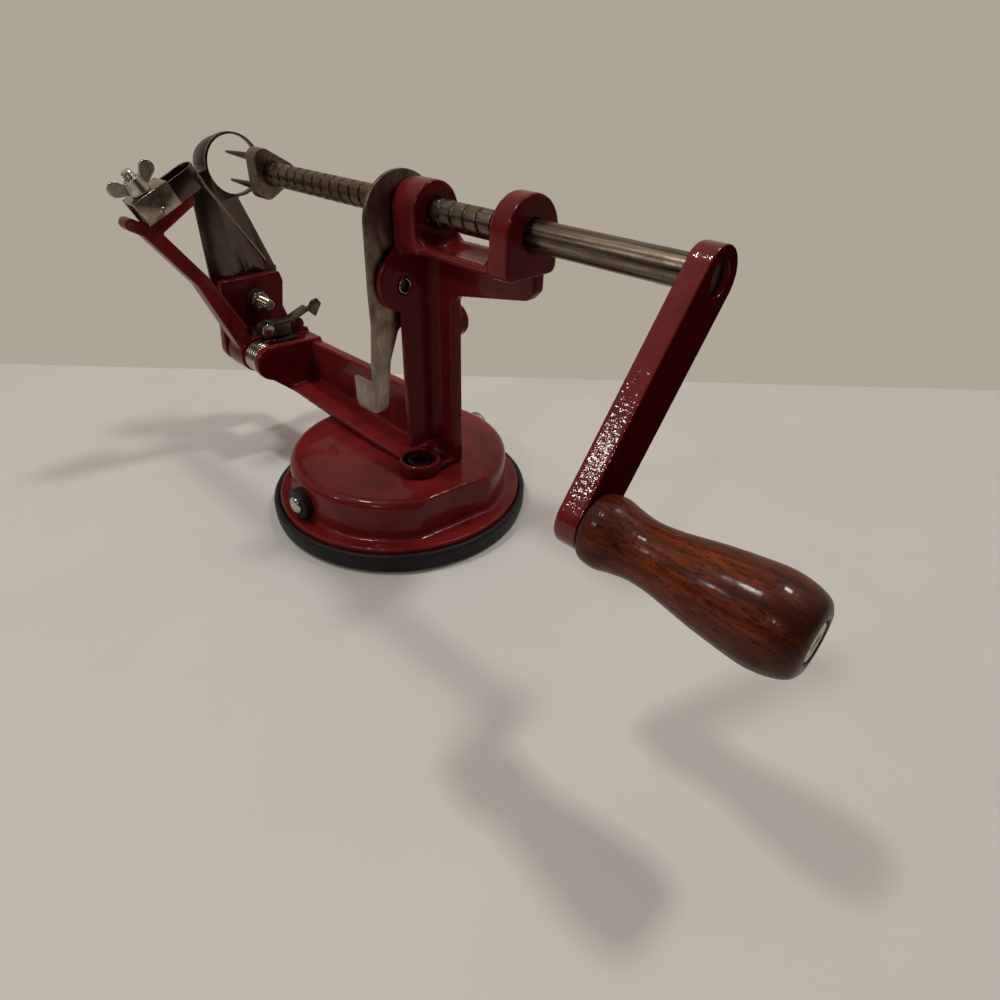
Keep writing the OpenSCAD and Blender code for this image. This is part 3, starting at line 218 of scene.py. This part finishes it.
def varnished_wood(name, start, end):
    """Streaky red-brown wood, its grain along the grip and its ends dark, under a thick varnish."""
    s = Shader(name)
    warp = s.noise(1, 3, 0.6, s.stretched((22, 130, 130)))
    bands = s.noise(1, 5, 0.72, s.stretched((26, 520, 520)), 0.6)
    fine = s.noise(1, 3, 0.7, s.stretched((70, 2600, 2600)))
    fleck = s.noise(1, 2, 0.6, s.stretched((190, 1500, 1500)))
    base = s.ramp(bands, (0.30, (0.020, 0.004, 0.0015)), (0.44, (0.090, 0.015, 0.005)),
                  (0.58, (0.19, 0.034, 0.008)), (0.74, (0.30, 0.062, 0.014)))
    base = s.mix(s.ramp(warp, (0.46, 0.0), (0.72, 0.75)), base, (0.045, 0.009, 0.0035))
    base = s.mix(s.ramp(fine, (0.58, 0.0), (0.7, 0.7)), base, (0.012, 0.003, 0.0015))
    base = s.mix(s.ramp(fleck, (0.57, 0.0), (0.64, 0.85)), base, (0.010, 0.003, 0.002))
    worn = s.ramp(s.noise(120, 3, 0.6), (0.3, 0.45), (0.7, 1.0))
    for clean_at, dark_at in ((start + 14 * MM, start), (end - 22 * MM, end - 2 * MM)):
        share = s.math("MULTIPLY", s.span("X", clean_at, dark_at), worn)
        base = s.mix(s.math("MULTIPLY", share, 0.85), base, (0.022, 0.007, 0.004))
    s.set(Base_Color=base, Roughness=s.ramp(bands, (0.3, 0.34), (0.7, 0.46)), Specular_IOR_Level=0.06)
    s.set(Coat_Weight=0.24, Coat_Roughness=s.ramp(s.noise(160, 3, 0.6), (0.35, 0.08), (0.7, 0.24)))
    ripple = s.math("MULTIPLY", s.noise(480, 3, 0.6), 1.5)
    s.bump(s.math("ADD", fine, ripple), 0.16, 0.0005)
    s.bump(s.noise(260, 1, 0.5), 0.1, 0.0006, "Coat Normal")
    return s.material


ENAMEL = enamel("enamel_red", 0.24, 0.10)
# The frame's and the bar's enamel paint shade onto their faces across the shaft.
FRAME_ENAMEL = enamel("enamel_frame", 0.24, 0.10, 0.6)
CRANK_ENAMEL = enamel("enamel_bar", 0.8, 0.05, 1.0, 1.0)
RUBBER = rubber("rubber_black")
SHAFT = metal("shaft_plating", (0.018, 0.013, 0.009), (0.32, 0.265, 0.205), (0.2, 0.42), (22, 900, 900),
              (0.12, 0.085, 0.05), 0.6, fade=("X", 0.06, -0.02, (0.80, 0.66, 0.55)))
LEVER = metal("lever_steel", (0.24, 0.205, 0.165), (0.44, 0.385, 0.315), (0.28, 0.48), (300, 500, 120),
              (0.22, 0.18, 0.14), 0.4, fade=("Z", 0.06, 0.095, (0.48, 0.37, 0.32)))
NICKEL = metal("bright_nickel", (0.36, 0.32, 0.27), (0.68, 0.62, 0.54), (0.14, 0.34), (300, 700, 700),
               None, 0.4)
FORK = metal("fork_tarnish", (0.13, 0.085, 0.067), (0.35, 0.26, 0.215), (0.26, 0.46), (200, 900, 900),
             (0.14, 0.085, 0.055), 0.6)
BLADE = metal("blade_steel", (0.062, 0.045, 0.038), (0.125, 0.096, 0.081), (0.16, 0.28), (1200, 60, 60),
              (0.10, 0.072, 0.056), 0.2, 0.04)
# Paler steel for the ridge's bead: the ridge's steel, partly a painted highlight line.
RIDGE_AND_HIGHLIGHT = metal("ridge_steel_and_highlight", (0.19, 0.14, 0.105), (0.32, 0.25, 0.19), (0.2, 0.34), (500, 500, 500))
RING = metal("ring_steel", (0.060, 0.046, 0.038), (0.135, 0.107, 0.090), (0.16, 0.3), (300, 300, 300),
             (0.05, 0.036, 0.028), 0.2, 0.04)
# Dark steel of the prongs; on the handle's washer it is painted shade for the recess in the grip's end.
PRONG_AND_SHADE = metal("prong_steel_and_shade", (0.045, 0.032, 0.026), (0.13, 0.10, 0.082), (0.24, 0.42), (60, 900, 900),
              (0.06, 0.042, 0.03), 0.4)
# Black oxide, also used as painted shade in bores and recesses.
OXIDE_AND_SHADE = metal("black_oxide_and_shade", (0.010, 0.009, 0.008), (0.032, 0.028, 0.025), (0.3, 0.5), (500, 500, 500))
LATCH = metal("latch_steel", (0.05, 0.038, 0.03), (0.17, 0.14, 0.11), (0.24, 0.46), (500, 200, 500),
              (0.075, 0.055, 0.04), 0.5)
CLAMP = metal("clamp_plating", (0.26, 0.21, 0.16), (0.54, 0.46, 0.36), (0.16, 0.34), (300, 300, 300),
              (0.27, 0.20, 0.135), 0.4)
grip_low, grip_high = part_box("wood_grip")
WOOD = varnished_wood("varnished_wood", grip_low[0], grip_high[0])


# Pieces made from the frame's nodes

WELD = 0.002 * MM
FLAT_ANGLE = 0.5
SHARP_ANGLE = 32
BEVEL_SEGMENTS = 2


def body_mesh(node):
    """A copy of a node's mesh, with its doubled corners welded."""
    mesh = bmesh.new()
    mesh.from_mesh(nodes[node].data)
    bmesh.ops.remove_doubles(mesh, verts=mesh.verts, dist=WELD)
    return mesh


def place(name, mesh, node, material, smooth_angle=None):
    """Links a new piece that stands for a node and rides on its body."""
    obj = bpy.data.objects.new(name, mesh)
    scene.collection.objects.link(obj)
    obj.data.materials.clear()
    obj.data.materials.append(material)
    for polygon in obj.data.polygons:
        polygon.use_smooth = True
    if smooth_angle is not None:
        obj.data.set_sharp_from_angle(angle=math.radians(smooth_angle))
    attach(obj, BODY_OF[node])
    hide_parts(node)
    return obj


def with_modifiers(name, mesh, modifiers):
    """Applies modifiers, given as (kind, values), to a mesh."""
    data = bpy.data.meshes.new(name + "_work")
    mesh.to_mesh(data)
    mesh.free()
    obj = bpy.data.objects.new(name + "_work", data)
    scene.collection.objects.link(obj)
    for kind, values in modifiers:
        modifier = obj.modifiers.new(kind.lower(), kind)
        for key, value in values.items():
            setattr(modifier, key, value)
    bpy.context.view_layer.update()
    done = bpy.data.meshes.new_from_object(obj.evaluated_get(bpy.context.evaluated_depsgraph_get()))
    bpy.data.objects.remove(obj)
    bpy.data.meshes.remove(data)
    done.name = name
    return done


def cast_piece(node, material, voxel, rounds):
    """A casting: every edge and corner of the node rounded a little."""
    steps = [("REMESH", {"mode": "VOXEL", "voxel_size": voxel}),
             ("SMOOTH", {"factor": 0.5, "iterations": rounds})]
    name = node + "_cast"
    return place(name, with_modifiers(name, body_mesh(node), steps), node, material)


def edged_piece(node, material, width):
    """A machined or pressed piece: the node with its edges broken."""
    mesh = body_mesh(node)
    bmesh.ops.dissolve_limit(mesh, angle_limit=math.radians(FLAT_ANGLE), verts=mesh.verts, edges=mesh.edges)
    steps = [("BEVEL", {"width": width, "segments": BEVEL_SEGMENTS, "limit_method": "ANGLE",
                        "angle_limit": math.radians(SHARP_ANGLE), "use_clamp_overlap": True})]
    name = node + "_edged"
    return place(name, with_modifiers(name, mesh, steps), node, material, 40)


# Pieces drawn afresh, in the space of their nodes

def axes_about(axis):
    """Two directions square to an axis; about X they are Y and Z."""
    side = Vector((0, 1, 0)) if abs(axis.y) < 0.9 else Vector((0, 0, 1))
    first = (side - side.dot(axis) * axis).normalized()
    return first, axis.cross(first)


def turned(origin, axis, stations, sides=64, relief=None, ring=False):
    """A mesh turned about an axis through (along, radius) stations, lowered by relief(along, angle)."""
    origin, axis = Vector(origin), Vector(axis).normalized()
    first, second = axes_about(axis)
    mesh = bmesh.new()
    loops = []
    for along, radius in stations:
        loop = []
        for k in range(sides):
            angle = 2 * math.pi * k / sides
            depth = relief(along, angle) if relief else 0.0
            out = math.cos(angle) * first + math.sin(angle) * second
            loop.append(mesh.verts.new(origin + along * axis + max(radius - depth, 0.0) * out))
        loops.append(loop)
    pairs = list(zip(loops, loops[1:]))
    if ring:
        pairs.append((loops[-1], loops[0]))
    for a, b in pairs:
        for k in range(sides):
            n = (k + 1) % sides
            mesh.faces.new((a[k], a[n], b[n], b[k]))
    if not ring:
        mesh.faces.new(list(reversed(loops[0])))
        mesh.faces.new(loops[-1])
    bmesh.ops.recalc_face_normals(mesh, faces=mesh.faces)
    return mesh


def finish_mesh(name, mesh):
    data = bpy.data.meshes.new(name)
    mesh.to_mesh(data)
    mesh.free()
    return data


def join(mesh, other):
    """Adds another mesh to a mesh."""
    data = finish_mesh("joined", other)
    mesh.from_mesh(data)
    bpy.data.meshes.remove(data)


def place_new(name, mesh, node, material, smooth_angle):
    """Places a piece drawn afresh."""
    return place(name, finish_mesh(name, mesh), node, material, smooth_angle)


def swept(points, radius, sides=14):
    """A round wire along points, with closed ends."""
    mesh = bmesh.new()
    loops = []
    side = None
    for i, point in enumerate(points):
        way = (points[min(i + 1, len(points) - 1)] - points[max(i - 1, 0)]).normalized()
        side = axes_about(way)[0] if side is None else (side - side.dot(way) * way).normalized()
        other = way.cross(side)
        loops.append([mesh.verts.new(point + radius * (math.cos(a) * side + math.sin(a) * other))
                      for a in (2 * math.pi * k / sides for k in range(sides))])
    for a, b in zip(loops, loops[1:]):
        for k in range(sides):
            n = (k + 1) % sides
            mesh.faces.new((a[k], a[n], b[n], b[k]))
    mesh.faces.new(list(reversed(loops[0])))
    mesh.faces.new(loops[-1])
    bmesh.ops.recalc_face_normals(mesh, faces=mesh.faces)
    return mesh


def joint_place(name):
    """A joint's place and axis."""
    joint = next(j for j in record["behaviour"]["joints"] if j["name"] == name)
    return Vector(joint["pos_m"]), Vector(joint["axis"])


def outer_profile(node, origin, axis):
    """Stations of a turned node's outer surface, from one end to the other."""
    widest = {}
    for vertex in nodes[node].data.vertices:
        away = vertex.co - origin
        along = round(away.dot(axis), 5)
        radius = (away - away.dot(axis) * axis).length
        widest[along] = max(widest.get(along, 0.0), radius)
    return sorted(widest.items())


def smooth_profile(stations, steps=4):
    """A curve through stations, with steps points for each."""
    curve = []
    last = len(stations) - 1
    for i in range(last):
        a, b, c, d = (Vector(stations[min(max(k, 0), last)]) for k in (i - 1, i, i + 1, i + 2))
        for k in range(steps):
            t = k / steps
            curve.append(tuple(0.5 * (2 * b + t * (c - a) + t * t * (2 * a - 5 * b + 4 * c - d)
                                      + t * t * t * (3 * b - a - 3 * c + d))))
    return curve + [stations[-1]]


def even_steps(start, end, step):
    count = max(1, round((end - start) / step))
    return [start + (end - start) * k / count for k in range(count + 1)]


def thread_relief(start, end, pitch, depth):
    """A V thread between two places."""
    def relief(along, angle):
        if not start < along < end:
            return 0.0
        turn = (along / pitch - angle / (2 * math.pi)) % 1.0
        return depth * abs(2 * turn - 1)
    return relief


def grip_piece():
    """The turned handle, with a soft end and a recess for the bolt's head."""
    origin, axis = joint_place("grip_spin")
    low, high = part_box("wood_grip")
    washer_low, washer_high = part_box("handle_washer")
    play, hole_r = 0.3 * MM, 3.1 * MM
    recess_r = (washer_high[1] - washer_low[1]) / 2 + play
    floor = washer_low[0] - origin.x - play
    start, end = low[0] - origin.x, high[0] - origin.x
    outer = [s for s in outer_profile("wood_grip", origin, axis) if s[1] > recess_r + 0.1 * MM]
    stations = smooth_profile(outer)
    outside = [(a, r) for a, r in stations if start + 0.05 * MM < a < end - 0.3 * MM]
    lip = [(end, stations[-1][1] - 0.2 * MM), (end, recess_r + 0.5 * MM), (end - 0.4 * MM, recess_r),
           (floor, recess_r), (floor, hole_r), (start, hole_r)]
    foot = [(start, outside[0][1] - 1.2 * MM)]
    mesh = turned(origin, axis, foot + outside + lip, 96, ring=True)
    place_new("wood_grip_turned", mesh, "wood_grip", WOOD, 35)


def shaft_piece():
    """The screw shaft: a rod with a wide-pitched helical groove, and broken edges at its ends; its end in the
    crank's boss is painted black as painted shade.
    """
    low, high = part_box("screw_shaft")
    origin, axis = joint_place("crank_turn")
    origin = Vector((0, origin.y, origin.z))
    radius = (high[1] - low[1]) / 2
    pitch, width, depth = 6.35 * MM, 1.5 * MM, 0.8 * MM
    plate_t = 1.5 * MM
    tooth_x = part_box("release_lever")[1][0] - plate_t / 2
    start, end = -75 * MM, 75.5 * MM
    wall, run_out, chamfer = 0.25 * MM, 0.8 * MM, 0.5 * MM

    def relief(along, angle):
        if not start < along < end:
            return 0.0
        centre = tooth_x + pitch * (angle - math.pi) / (2 * math.pi)
        off = (along - centre + pitch / 2) % pitch - pitch / 2
        fade = min(1.0, (along - start) / run_out, (end - along) / run_out)
        return depth * fade * min(1.0, max(0.0, (width / 2 + wall / 2 - abs(off)) / wall))

    threaded = even_steps(start, end, 0.16 * MM)
    along = [low[0] + chamfer] + threaded + even_steps(end, high[0] - chamfer, 4 * MM)[1:]
    stations = [(low[0], radius - chamfer)] + [(a, radius) for a in along] + [(high[0], radius - chamfer)]
    mesh = turned(origin, axis, stations, 72, relief)
    shaft = place_new("screw_shaft_turned", mesh, "screw_shaft", SHAFT, 35)
    # Painted shade: the end face in the crank's boss is black, for the shade in the boss's recess.
    shaft.data.materials.append(OXIDE_AND_SHADE)
    for polygon in shaft.data.polygons:
        if polygon.center.x > high[0] - chamfer:
            polygon.material_index = 1


def prong_pieces():
    """Three tapered prongs with a slight belly."""
    low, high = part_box("fork_prongs")
    centre, axis = joint_place("crank_turn")
    root_r, tip_r, land = 1.7 * MM, 0.6 * MM, 0.24
    reach = high[1] - root_r - centre.y
    length = high[0] - low[0]
    mesh = bmesh.new()
    for k in range(3):
        angle = 2 * math.pi * k / 3
        origin = Vector((high[0], centre.y + reach * math.cos(angle), centre.z + reach * math.sin(angle)))
        taper = [(t * (length - tip_r), root_r + (tip_r - root_r) * (max(0.0, t - land) / (1 - land)) ** 1.15)
                 for t in (i / 30 for i in range(31))]
        point = [(length - tip_r + tip_r * math.sin(a), tip_r * math.cos(a))
                 for a in (math.pi / 2 * i / 6 for i in range(1, 6))]
        join(mesh, turned(origin, -axis, taper + point, 24))
    place_new("fork_prongs_turned", mesh, "fork_prongs", PRONG_AND_SHADE, 50)


def coil_points(origin, start_x, pitch, radius, start_turn, turns, leg):
    """A torsion spring about X: a straight leg, the coil and a second leg."""
    steps = round(40 * turns)
    body = []
    for i in range(steps + 1):
        angle = 2 * math.pi * (start_turn + turns * i / steps)
        body.append(Vector((start_x + pitch * turns * i / steps, origin.y + radius * math.cos(angle),
                            origin.z + radius * math.sin(angle))))
    first, last = 2 * math.pi * start_turn, 2 * math.pi * (start_turn + turns)
    lead_in = [body[0] - f * leg * Vector((0, -math.sin(first), math.cos(first))) for f in (1, 0.66, 0.33)]
    lead_out = [body[-1] + f * leg * Vector((0, -math.sin(last), math.cos(last))) for f in (0.33, 0.66, 1)]
    return lead_in + body + lead_out


def spring_piece(node, joint, radius, wire, turns, start_turn, leg):
    """A round-wire torsion spring wound about a joint's place, left fixed where it is drawn."""
    low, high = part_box(node)
    origin = joint_place(joint)[0]
    first, last = low[0] + wire / 2, high[0] - wire / 2
    points = coil_points(origin, first, (last - first) / turns, radius, start_turn, turns, leg)
    name = node + "_wound"
    data = finish_mesh(name, swept(points, wire / 2))
    obj = bpy.data.objects.new(name, data)
    scene.collection.objects.link(obj)
    data.materials.append(NICKEL)
    for polygon in data.polygons:
        polygon.use_smooth = True
    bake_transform(obj)
    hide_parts(node)


def rubber_rim():
    """The rubber foot: a rolled rim with a bead, round the enamelled flange."""
    flange_low, flange_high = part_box("base_casting")
    cup_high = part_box("suction_cup")[1]
    outer, top = cup_high[0], cup_high[2]
    inner, seat = flange_high[0] + 0.1 * MM, flange_low[2]
    recess_z, boss_z = 2.5 * MM, 6.6 * MM
    boss_r, stud_r, middle_r = 11.5 * MM, 8.2 * MM, 0.5 * MM
    roll = (outer - inner) / 2
    arc = [(top - roll + roll * math.sin(a), outer - roll + roll * math.cos(a))
           for a in (math.pi * k / 16 for k in range(17))]
    side = [(0.0, outer - 2.6 * MM), (0.5 * MM, outer - 1.2 * MM), (1.4 * MM, outer - 0.45 * MM),
            (2.6 * MM, outer - 0.15 * MM), (3.6 * MM, outer)]
    inside = [(seat + 0.02 * MM, inner), (seat - 0.02 * MM, inner - 9 * MM), (recess_z, inner - 14 * MM),
              (recess_z, boss_r + 0.5 * MM), (boss_z, boss_r), (boss_z, stud_r), (recess_z, stud_r),
              (recess_z, middle_r), (0.0, middle_r)]
    mesh = turned((0, 0, 0), (0, 0, 1), side + arc + inside, 160, ring=True)
    place_new("suction_cup_moulded", mesh, "suction_cup", RUBBER, 40)


def axle_end():
    """The ridged collar and the domed cap on the near end of the lever's axle."""
    low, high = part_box("axle_collar")
    radius = (high[0] - low[0]) / 2
    centre = Vector(((low[0] + high[0]) / 2, high[1], (low[2] + high[2]) / 2))
    length = high[1] - low[1]
    bore, shoulder = 3.52 * MM, 0.6 * MM
    rib_depth, rib_count = 0.22 * MM, 36

    def ribs(along, angle):
        if not 0 < along < length - shoulder / 2:
            return 0.0
        return rib_depth * (0.5 + 0.5 * math.cos(rib_count * angle))

    stations = [(0.0, radius - 0.3 * MM), (0.3 * MM, radius), (length - shoulder, radius),
                (length, radius - shoulder), (length, bore), (0.0, bore)]
    mesh = turned(centre, (0, -1, 0), stations, 216, ribs, ring=True)
    place_new("axle_collar_ribbed", mesh, "axle_collar", RUBBER, 30)
    low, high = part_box("axle_cap")
    cap_r = (high[0] - low[0]) / 2
    height = high[1] - low[1]
    wall, steps = 0.3 * height, 14
    dome = [(0.0, cap_r)] + [(wall + (height - wall) * math.sin(a), cap_r * math.cos(a) ** 0.8 + 0.02 * MM)
                             for a in (math.pi / 2 * k / steps for k in range(steps + 1))]
    mesh = turned((centre.x, high[1], centre.z), (0, -1, 0), dome, 64)
    place_new("axle_cap_domed", mesh, "axle_cap", NICKEL, 40)


FINE_THREAD = (0.9 * MM, 0.45 * MM)


def clamp_stud():
    """The threaded stud that carries the wing nut."""
    foot, axis = joint_place("wing_turn")
    low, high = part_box("clamp_bolt")
    radius = (high[0] - low[0]) / 2
    root, chamfer = -1.78 * MM, 0.5 * MM
    tip = root + (high[2] - low[2] - 2 * radius * abs(axis.y)) / axis.z
    along = even_steps(root + chamfer, tip - chamfer, 0.1 * MM)
    stations = [(root, radius - chamfer)] + [(a, radius) for a in along] + [(tip, radius - chamfer)]
    mesh = turned(foot, axis, stations, 36, thread_relief(root, tip, *FINE_THREAD))
    place_new("clamp_bolt_threaded", mesh, "clamp_bolt", NICKEL, 30)


def blade_stud():
    """The blade's bolt: a hexagon head behind the blade and a long thread in front of the nut."""
    low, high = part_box("blade_bolt")
    origin, axis = (low[0], (low[1] + high[1]) / 2, (low[2] + high[2]) / 2), (1, 0, 0)
    radius, head, chamfer = 2.6 * MM, 4 * MM, 0.5 * MM
    length, flat = high[0] - low[0], (high[2] - low[2]) / 2
    along = even_steps(head, length - chamfer, 0.1 * MM)
    stations = [(head - 0.2 * MM, radius)] + [(a, radius) for a in along] + [(length, radius - chamfer)]
    mesh = turned(origin, axis, stations, 36,
                  thread_relief(head + 6 * MM, length, *FINE_THREAD))
    corner = flat / math.cos(math.pi / 6)
    hexagon = turned(origin, axis, [(0.0, corner - 0.7 * MM), (0.5 * MM, corner), (head, corner)], 6)
    join(mesh, hexagon)
    place_new("blade_bolt_threaded", mesh, "blade_bolt", CLAMP, 30)


def ridged_blade():
    """The slicer blade, with the ridge where its edge begins to be ground; the bead along the ridge is paler
    steel, partly a painted highlight line.
    """
    blade = edged_piece("slicer_blade", BLADE, 0.12 * MM)
    bead_r, sink = 0.9 * MM, 0.55 * MM
    face_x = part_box("slicer_blade")[1][0] - sink
    top, foot = Vector((face_x, -17.6 * MM, 128.6 * MM)), Vector((face_x, 7.6 * MM, 88.6 * MM))
    points = [top.lerp(foot, k / 24) for k in range(25)]
    mesh = bmesh.new()
    mesh.from_mesh(blade.data)
    plain = len(mesh.faces)
    join(mesh, swept(points, bead_r))
    for face in list(mesh.faces)[plain:]:
        face.material_index = 1
    mesh.to_mesh(blade.data)
    mesh.free()
    blade.data.materials.append(RIDGE_AND_HIGHLIGHT)


def painted_shade_bore(obj, joint, reach):
    """Blackens the faces of a piece that lie within reach of a joint's axis along X, as painted shade inside
    its bore.
    """
    origin = joint_place(joint)[0]
    obj.data.materials.append(OXIDE_AND_SHADE)
    for polygon in obj.data.polygons:
        if math.hypot(polygon.center.y - origin.y, polygon.center.z - origin.z) < reach:
            polygon.material_index = 1


cast_piece("base_casting", ENAMEL, 0.7 * MM, 8)
cast_piece("frame_casting", FRAME_ENAMEL, 0.55 * MM, 14)
cast_piece("crank_arm", CRANK_ENAMEL, 0.4 * MM, 14)
cast_piece("peel_arm", ENAMEL, 0.4 * MM, 10)
cast_piece("fork_head", FORK, 0.22 * MM, 8)
cast_piece("wing_nut", NICKEL, 0.18 * MM, 6)
cast_piece("suction_lever", LEVER, 0.3 * MM, 6)
grip_piece()
shaft_piece()
prong_pieces()
spring_piece("peel_spring", "peel_swing", 7 * MM, 1.6 * MM, 4.5, 0.25, 7 * MM)
spring_piece("release_spring", "release_press", 4.75 * MM, 0.6 * MM, 1.5, 0.0, 0.5 * MM)
rubber_rim()
axle_end()
clamp_stud()
blade_stud()
edged_piece("release_lever", LEVER, 0.22 * MM)
edged_piece("latch_lever", LATCH, 0.2 * MM)
edged_piece("blade_clamp", CLAMP, 0.3 * MM)
ridged_blade()
edged_piece("corer_ring", RING, 0.12 * MM)
edged_piece("peel_blade", BLADE, 0.12 * MM)
# The roll pin's bore gets painted shade.
painted_shade_bore(edged_piece("roll_pin", NICKEL, 0.2 * MM), "release_press", 2.2 * MM)
edged_piece("handle_bolt", CLAMP, 0.25 * MM)
# The washer's dark steel is painted shade for the recess in the grip's end.
edged_piece("handle_washer", PRONG_AND_SHADE, 0.12 * MM)
edged_piece("blade_washer", LATCH, 0.15 * MM)
edged_piece("blade_nut", CLAMP, 0.3 * MM)
edged_piece("latch_pin", NICKEL, 0.3 * MM)
# The foot screw's black is partly black oxide and partly painted shade for the dark well under the post.
edged_piece("foot_screw", OXIDE_AND_SHADE, 0.3 * MM)
for inner in ("pivot_pin", "cam_axle", "pull_stud", "bed_screw", "fork_stud"):
    edged_piece(inner, SHAFT, 0.15 * MM)


# Floor, backdrop, lights and camera

def stage_material(name, colour, rough):
    s = Shader(name)
    tone = s.noise(9, 4, 0.6)
    dark = tuple(c * 0.96 for c in colour)
    s.set(Base_Color=s.ramp(tone, (0.3, dark), (0.7, colour)), Roughness=rough, Specular_IOR_Level=0.2)
    return s.material


def stage_plane(name, corners, material):
    """A flat part of the stage."""
    mesh = bpy.data.meshes.new(name)
    mesh.from_pydata(corners, [], [(0, 1, 2, 3)])
    obj = bpy.data.objects.new(name, mesh)
    obj.data.materials.append(material)
    scene.collection.objects.link(obj)


# The table ends at a line under the backdrop, and reaches far along it and into the room
BACKDROP_MIDDLE = Vector((-0.067, 0.138, 0.0))
ALONG_BACKDROP = Vector((0.724, 0.69, 0.0)) * 3
INTO_ROOM = Vector((0.69, -0.724, 0.0)) * 4
TABLE = stage_material("table_white", (0.655, 0.64, 0.625), 0.6)
left_end, right_end = BACKDROP_MIDDLE - ALONG_BACKDROP, BACKDROP_MIDDLE + ALONG_BACKDROP
stage_plane("table", [left_end, left_end + INTO_ROOM, right_end + INTO_ROOM, right_end], TABLE)


def studio_world():
    """A pale backdrop behind and above the object and below the table, which darkens towards the room."""
    towards_backdrop = (-0.62, 0.64, 0.45)
    stops = ((0.35, (0.03, 0.028, 0.026, 1)), (0.52, (0.13, 0.122, 0.11, 1)), (0.72, (0.42, 0.375, 0.305, 1)))
    below_from, below_to = -0.12, -0.2
    world = bpy.data.worlds.new("studio")
    world.use_nodes = True
    tree = world.node_tree
    way = tree.nodes.new("ShaderNodeTexCoord")
    facing = tree.nodes.new("ShaderNodeVectorMath")
    facing.operation = "DOT_PRODUCT"
    facing.inputs[1].default_value = towards_backdrop
    level = tree.nodes.new("ShaderNodeMath")
    level.operation = "MULTIPLY_ADD"
    level.inputs[1].default_value = 0.5
    level.inputs[2].default_value = 0.5
    ramp = tree.nodes.new("ShaderNodeValToRGB")
    points = ramp.color_ramp.elements
    points.new(0.5)
    for point, (position, colour) in zip(points, stops):
        point.position = position
        point.color = colour
    height = tree.nodes.new("ShaderNodeSeparateXYZ")
    below = tree.nodes.new("ShaderNodeMapRange")
    below.inputs["From Min"].default_value = below_from
    below.inputs["From Max"].default_value = below_to
    palest = tree.nodes.new("ShaderNodeMath")
    palest.operation = "MAXIMUM"
    tree.links.new(way.outputs["Generated"], facing.inputs[0])
    tree.links.new(way.outputs["Generated"], height.inputs["Vector"])
    tree.links.new(facing.outputs["Value"], level.inputs[0])
    tree.links.new(height.outputs["Z"], below.inputs["Value"])
    tree.links.new(level.outputs[0], palest.inputs[0])
    tree.links.new(below.outputs["Result"], palest.inputs[1])
    tree.links.new(palest.outputs[0], ramp.inputs["Fac"])
    tree.links.new(ramp.outputs["Color"], tree.nodes["Background"].inputs["Color"])
    scene.world = world


studio_world()


LAMP_COLOUR = (1.0, 0.95, 0.88)
MIDDLE = (0, 0, 0.08)


def area_light(name, place_at, aim, size, power):
    """A round lamp that faces a place; size in metres, power in watts."""
    data = bpy.data.lights.new(name, "AREA")
    data.shape = "DISK"
    data.size = size
    data.energy = power
    data.color = LAMP_COLOUR
    obj = bpy.data.objects.new(name, data)
    obj.location = place_at
    obj.rotation_mode = "QUATERNION"
    obj.rotation_quaternion = (Vector(aim) - Vector(place_at)).to_track_quat("-Z", "Y")
    scene.collection.objects.link(obj)


area_light("lamp_far", (0.24, 0.45, 1.2), MIDDLE, 0.15, 4.4)
area_light("lamp_left", (-0.28, -0.3, 1.2), MIDDLE, 0.15, 3.7)
area_light("lamp_near", (0.36, -0.80, 0.68), (0.16, -0.03, 0.1), 0.08, 0.9)
area_light("lamp_side", (-0.29, -0.64, 0.62), (0.13, -0.04, 0.09), 0.08, 0.5)


def photo_camera():
    """The camera fitted to the photograph: place in metres, angles in degrees, focal length in pixels."""
    where = Vector((0.21454, -0.16072, 0.17832))
    yaw, pitch, roll = (math.radians(a) for a in (132.92, 34.19, 1.82))
    focal_px, image_px, sensor_mm = 650.0, 1000.0, 36.0
    forward = Vector((math.cos(pitch) * math.cos(yaw), math.cos(pitch) * math.sin(yaw), -math.sin(pitch)))
    right = forward.cross(Vector((0, 0, 1))).normalized()
    up = right.cross(forward)
    right_r = math.cos(roll) * right + math.sin(roll) * up
    up_r = -math.sin(roll) * right + math.cos(roll) * up
    data = bpy.data.cameras.new("photo_view")
    data.sensor_width = sensor_mm
    data.lens = focal_px / image_px * sensor_mm
    data.clip_start = 0.01
    obj = bpy.data.objects.new("photo_view", data)
    turn = Matrix((right_r, up_r, -forward)).transposed().to_4x4()
    obj.matrix_world = Matrix.Translation(where) @ turn
    scene.collection.objects.link(obj)
    scene.camera = obj


photo_camera()
scene.view_settings.view_transform = "Standard"
